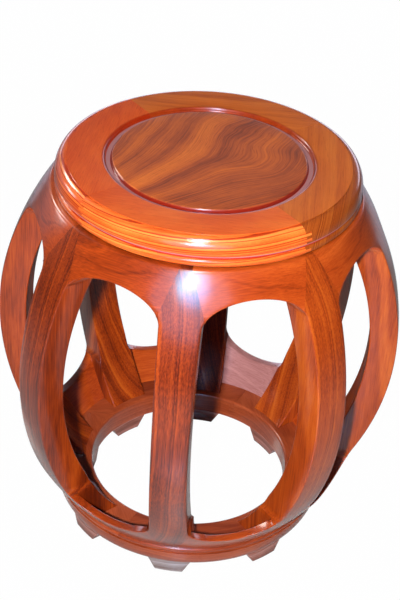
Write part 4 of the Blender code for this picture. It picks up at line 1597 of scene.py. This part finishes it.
@dataclass
class Studio:
    """Pale floor, soft lights, white surroundings, and the camera of the photograph.

    A flash beside the camera and a soft ceiling light the wood. The other lamps are windows,
    walls and glows that only show in its lacquer.
    """

    camera_place: Size = (0.11398, -1.29585, 1.19675)
    camera_forward: Size = (-0.07094, 0.81306, -0.57784)
    camera_up: Size = (-0.11735, 0.56847, 0.81429)
    lens: float = 84.785
    sensor: float = 36.0
    floor_size: float = 24.0
    floor_drop: float = 0.0002
    floor_grey: float = 0.45
    floor_roughness: float = 0.2
    floor_glow: float = 0.99
    world_seen: float = 0.98
    world_mirrored: float = 0.03
    world_light: float = 0.02
    lamps: tuple[Lamp, ...] = (
        Lamp("flash", (0.004, -1.335, 1.155), (0.05, 0.07), 44.0, use=LampUse.LIGHT),
        Lamp("ceiling", (0.3, 0.5, 2.2), (1.2, 1.2), 5.0, use=LampUse.LIGHT),
        Lamp("left_window", (-1.50, 1.18, 1.62), (0.62, 0.56), 17.0, (1.0, 0.97, 0.90)),
        Lamp("left_door", (-2.18, 0.62, 0.90), (0.60, 0.42), 6.5),
        Lamp("left_wall", (-2.60, 1.90, 0.35), (2.4, 1.2), 3.0, (0.90, 0.80, 1.0)),
        Lamp("sky_behind", (0.0, -1.55, 1.00), (1.4, 0.9), 10.0, (0.60, 0.68, 1.0)),
        Lamp("flash_glow", (0.004, -1.335, 1.155), (0.10, 0.13), 4.0),
        Lamp("halo", (0.03, -1.42, 1.16), (0.50, 0.46), 14.0, (0.06, 0.46, 1.0)),
        Lamp("umbrella", (-0.14, -1.38, 1.10), (0.16, 0.18), 1.6, (0.30, 0.85, 1.0)),
        Lamp("bounce", (0.003, -0.94, 1.85), (0.28, 1.30), 30.0, (0.80, 0.88, 1.0)),
        Lamp("back_wall", (0.0, 2.6, 0.60), (4.5, 0.8), 30.0, (0.84, 0.80, 1.0)),
    )

    def build_camera(self) -> None:
        """Place the camera where the photograph was taken."""
        back = -Vector(self.camera_forward).normalized()
        right = Vector(self.camera_up).cross(back).normalized()
        up = back.cross(right)
        turn = Matrix((right, up, back)).transposed()
        data = bpy.data.cameras.new("camera")
        data.lens = self.lens
        data.sensor_width = self.sensor
        data.dof.use_dof = False
        camera = bpy.data.objects.new("camera", data)
        camera.matrix_world = Matrix.Translation(self.camera_place) @ turn.to_4x4()
        bpy.context.scene.collection.objects.link(camera)
        bpy.context.scene.camera = camera

    def build_floor(self) -> None:
        """Lay a pale floor that keeps a faint shadow of the stool."""
        work = Workpiece()
        bmesh.ops.create_grid(work.work, x_segments=1, y_segments=1, size=self.floor_size / 2)
        bmesh.ops.translate(work.work, vec=(0, 0, -self.floor_drop), verts=work.work.verts)
        floor = work.as_object("floor")
        paper = bpy.data.materials.new("pale_floor")
        recipe = Recipe(paper)
        seen = recipe.node("ShaderNodeLightPath", output="Is Camera Ray")
        grey = (self.floor_grey, self.floor_grey, self.floor_grey, 1.0)
        plain = recipe.node("ShaderNodeBsdfPrincipled", {}, {
            "Base Color": grey, "Roughness": self.floor_roughness})
        glow = recipe.node("ShaderNodeEmission", {}, {"Color": (*WHITE, 1.0), "Strength": 1.0})
        mixed = recipe.node("ShaderNodeMixShader", {}, {
            0: seen * self.floor_glow, 1: plain, 2: glow})
        recipe.node("ShaderNodeOutputMaterial", {}, {"Surface": mixed})
        floor.data.materials.append(paper)

    def build_world(self) -> None:
        """Surround the stool with white, softer for what it lights than for what it shows."""
        world = bpy.data.worlds.new("white_room")
        bpy.context.scene.world = world
        recipe = Recipe(world)
        path = recipe.node("ShaderNodeLightPath", output="Is Camera Ray")
        gloss = recipe.node("ShaderNodeLightPath", output="Is Glossy Ray")
        strength = path * self.world_seen + gloss * self.world_mirrored + self.world_light
        white = recipe.node("ShaderNodeBackground", {}, {
            "Color": (*WHITE, 1.0), "Strength": strength})
        recipe.node("ShaderNodeOutputWorld", {}, {"Surface": white})

    def build(self) -> None:
        """Set the whole studio up."""
        self.build_camera()
        self.build_floor()
        self.build_world()
        for lamp in self.lamps:
            lamp.hang()
        bpy.context.scene.view_settings.view_transform = "Standard"


def main() -> None:
    """Build the stool and its studio."""
    logging.basicConfig(level=logging.INFO, format="%(name)s: %(message)s")
    layout = Layout()
    barrel = Barrel(layout.side_top, layout.side_bottom)
    upper = Window(barrel, layout.leg_pitch, spring=0.375, crown=0.403, end=layout.side_top)
    lower = Window(barrel, layout.leg_pitch, spring=0.104, crown=0.076, end=layout.side_bottom)
    SeatFrame(layout=layout, top=layout.seat_top, bottom=layout.frame_bottom,
              barrel=barrel).build()
    SeatPanel(layout).build()
    Legs(layout, barrel, upper, lower).build()
    Aprons(layout, barrel, upper, layout.upper_thickness, "upper_apron", "upper_apron_wood",
           APRON_RED, seed=30).build()
    Aprons(layout, barrel, lower, layout.lower_thickness, "lower_apron", "lower_apron_wood",
           APRON_RED, seed=40, greyer_apron=4).build()
    BaseRing(layout=layout, top=layout.ring_top, bottom=layout.ring_bottom).build()
    Feet(layout).build()
    Studio().build()


if __name__ == "__main__":
    main()
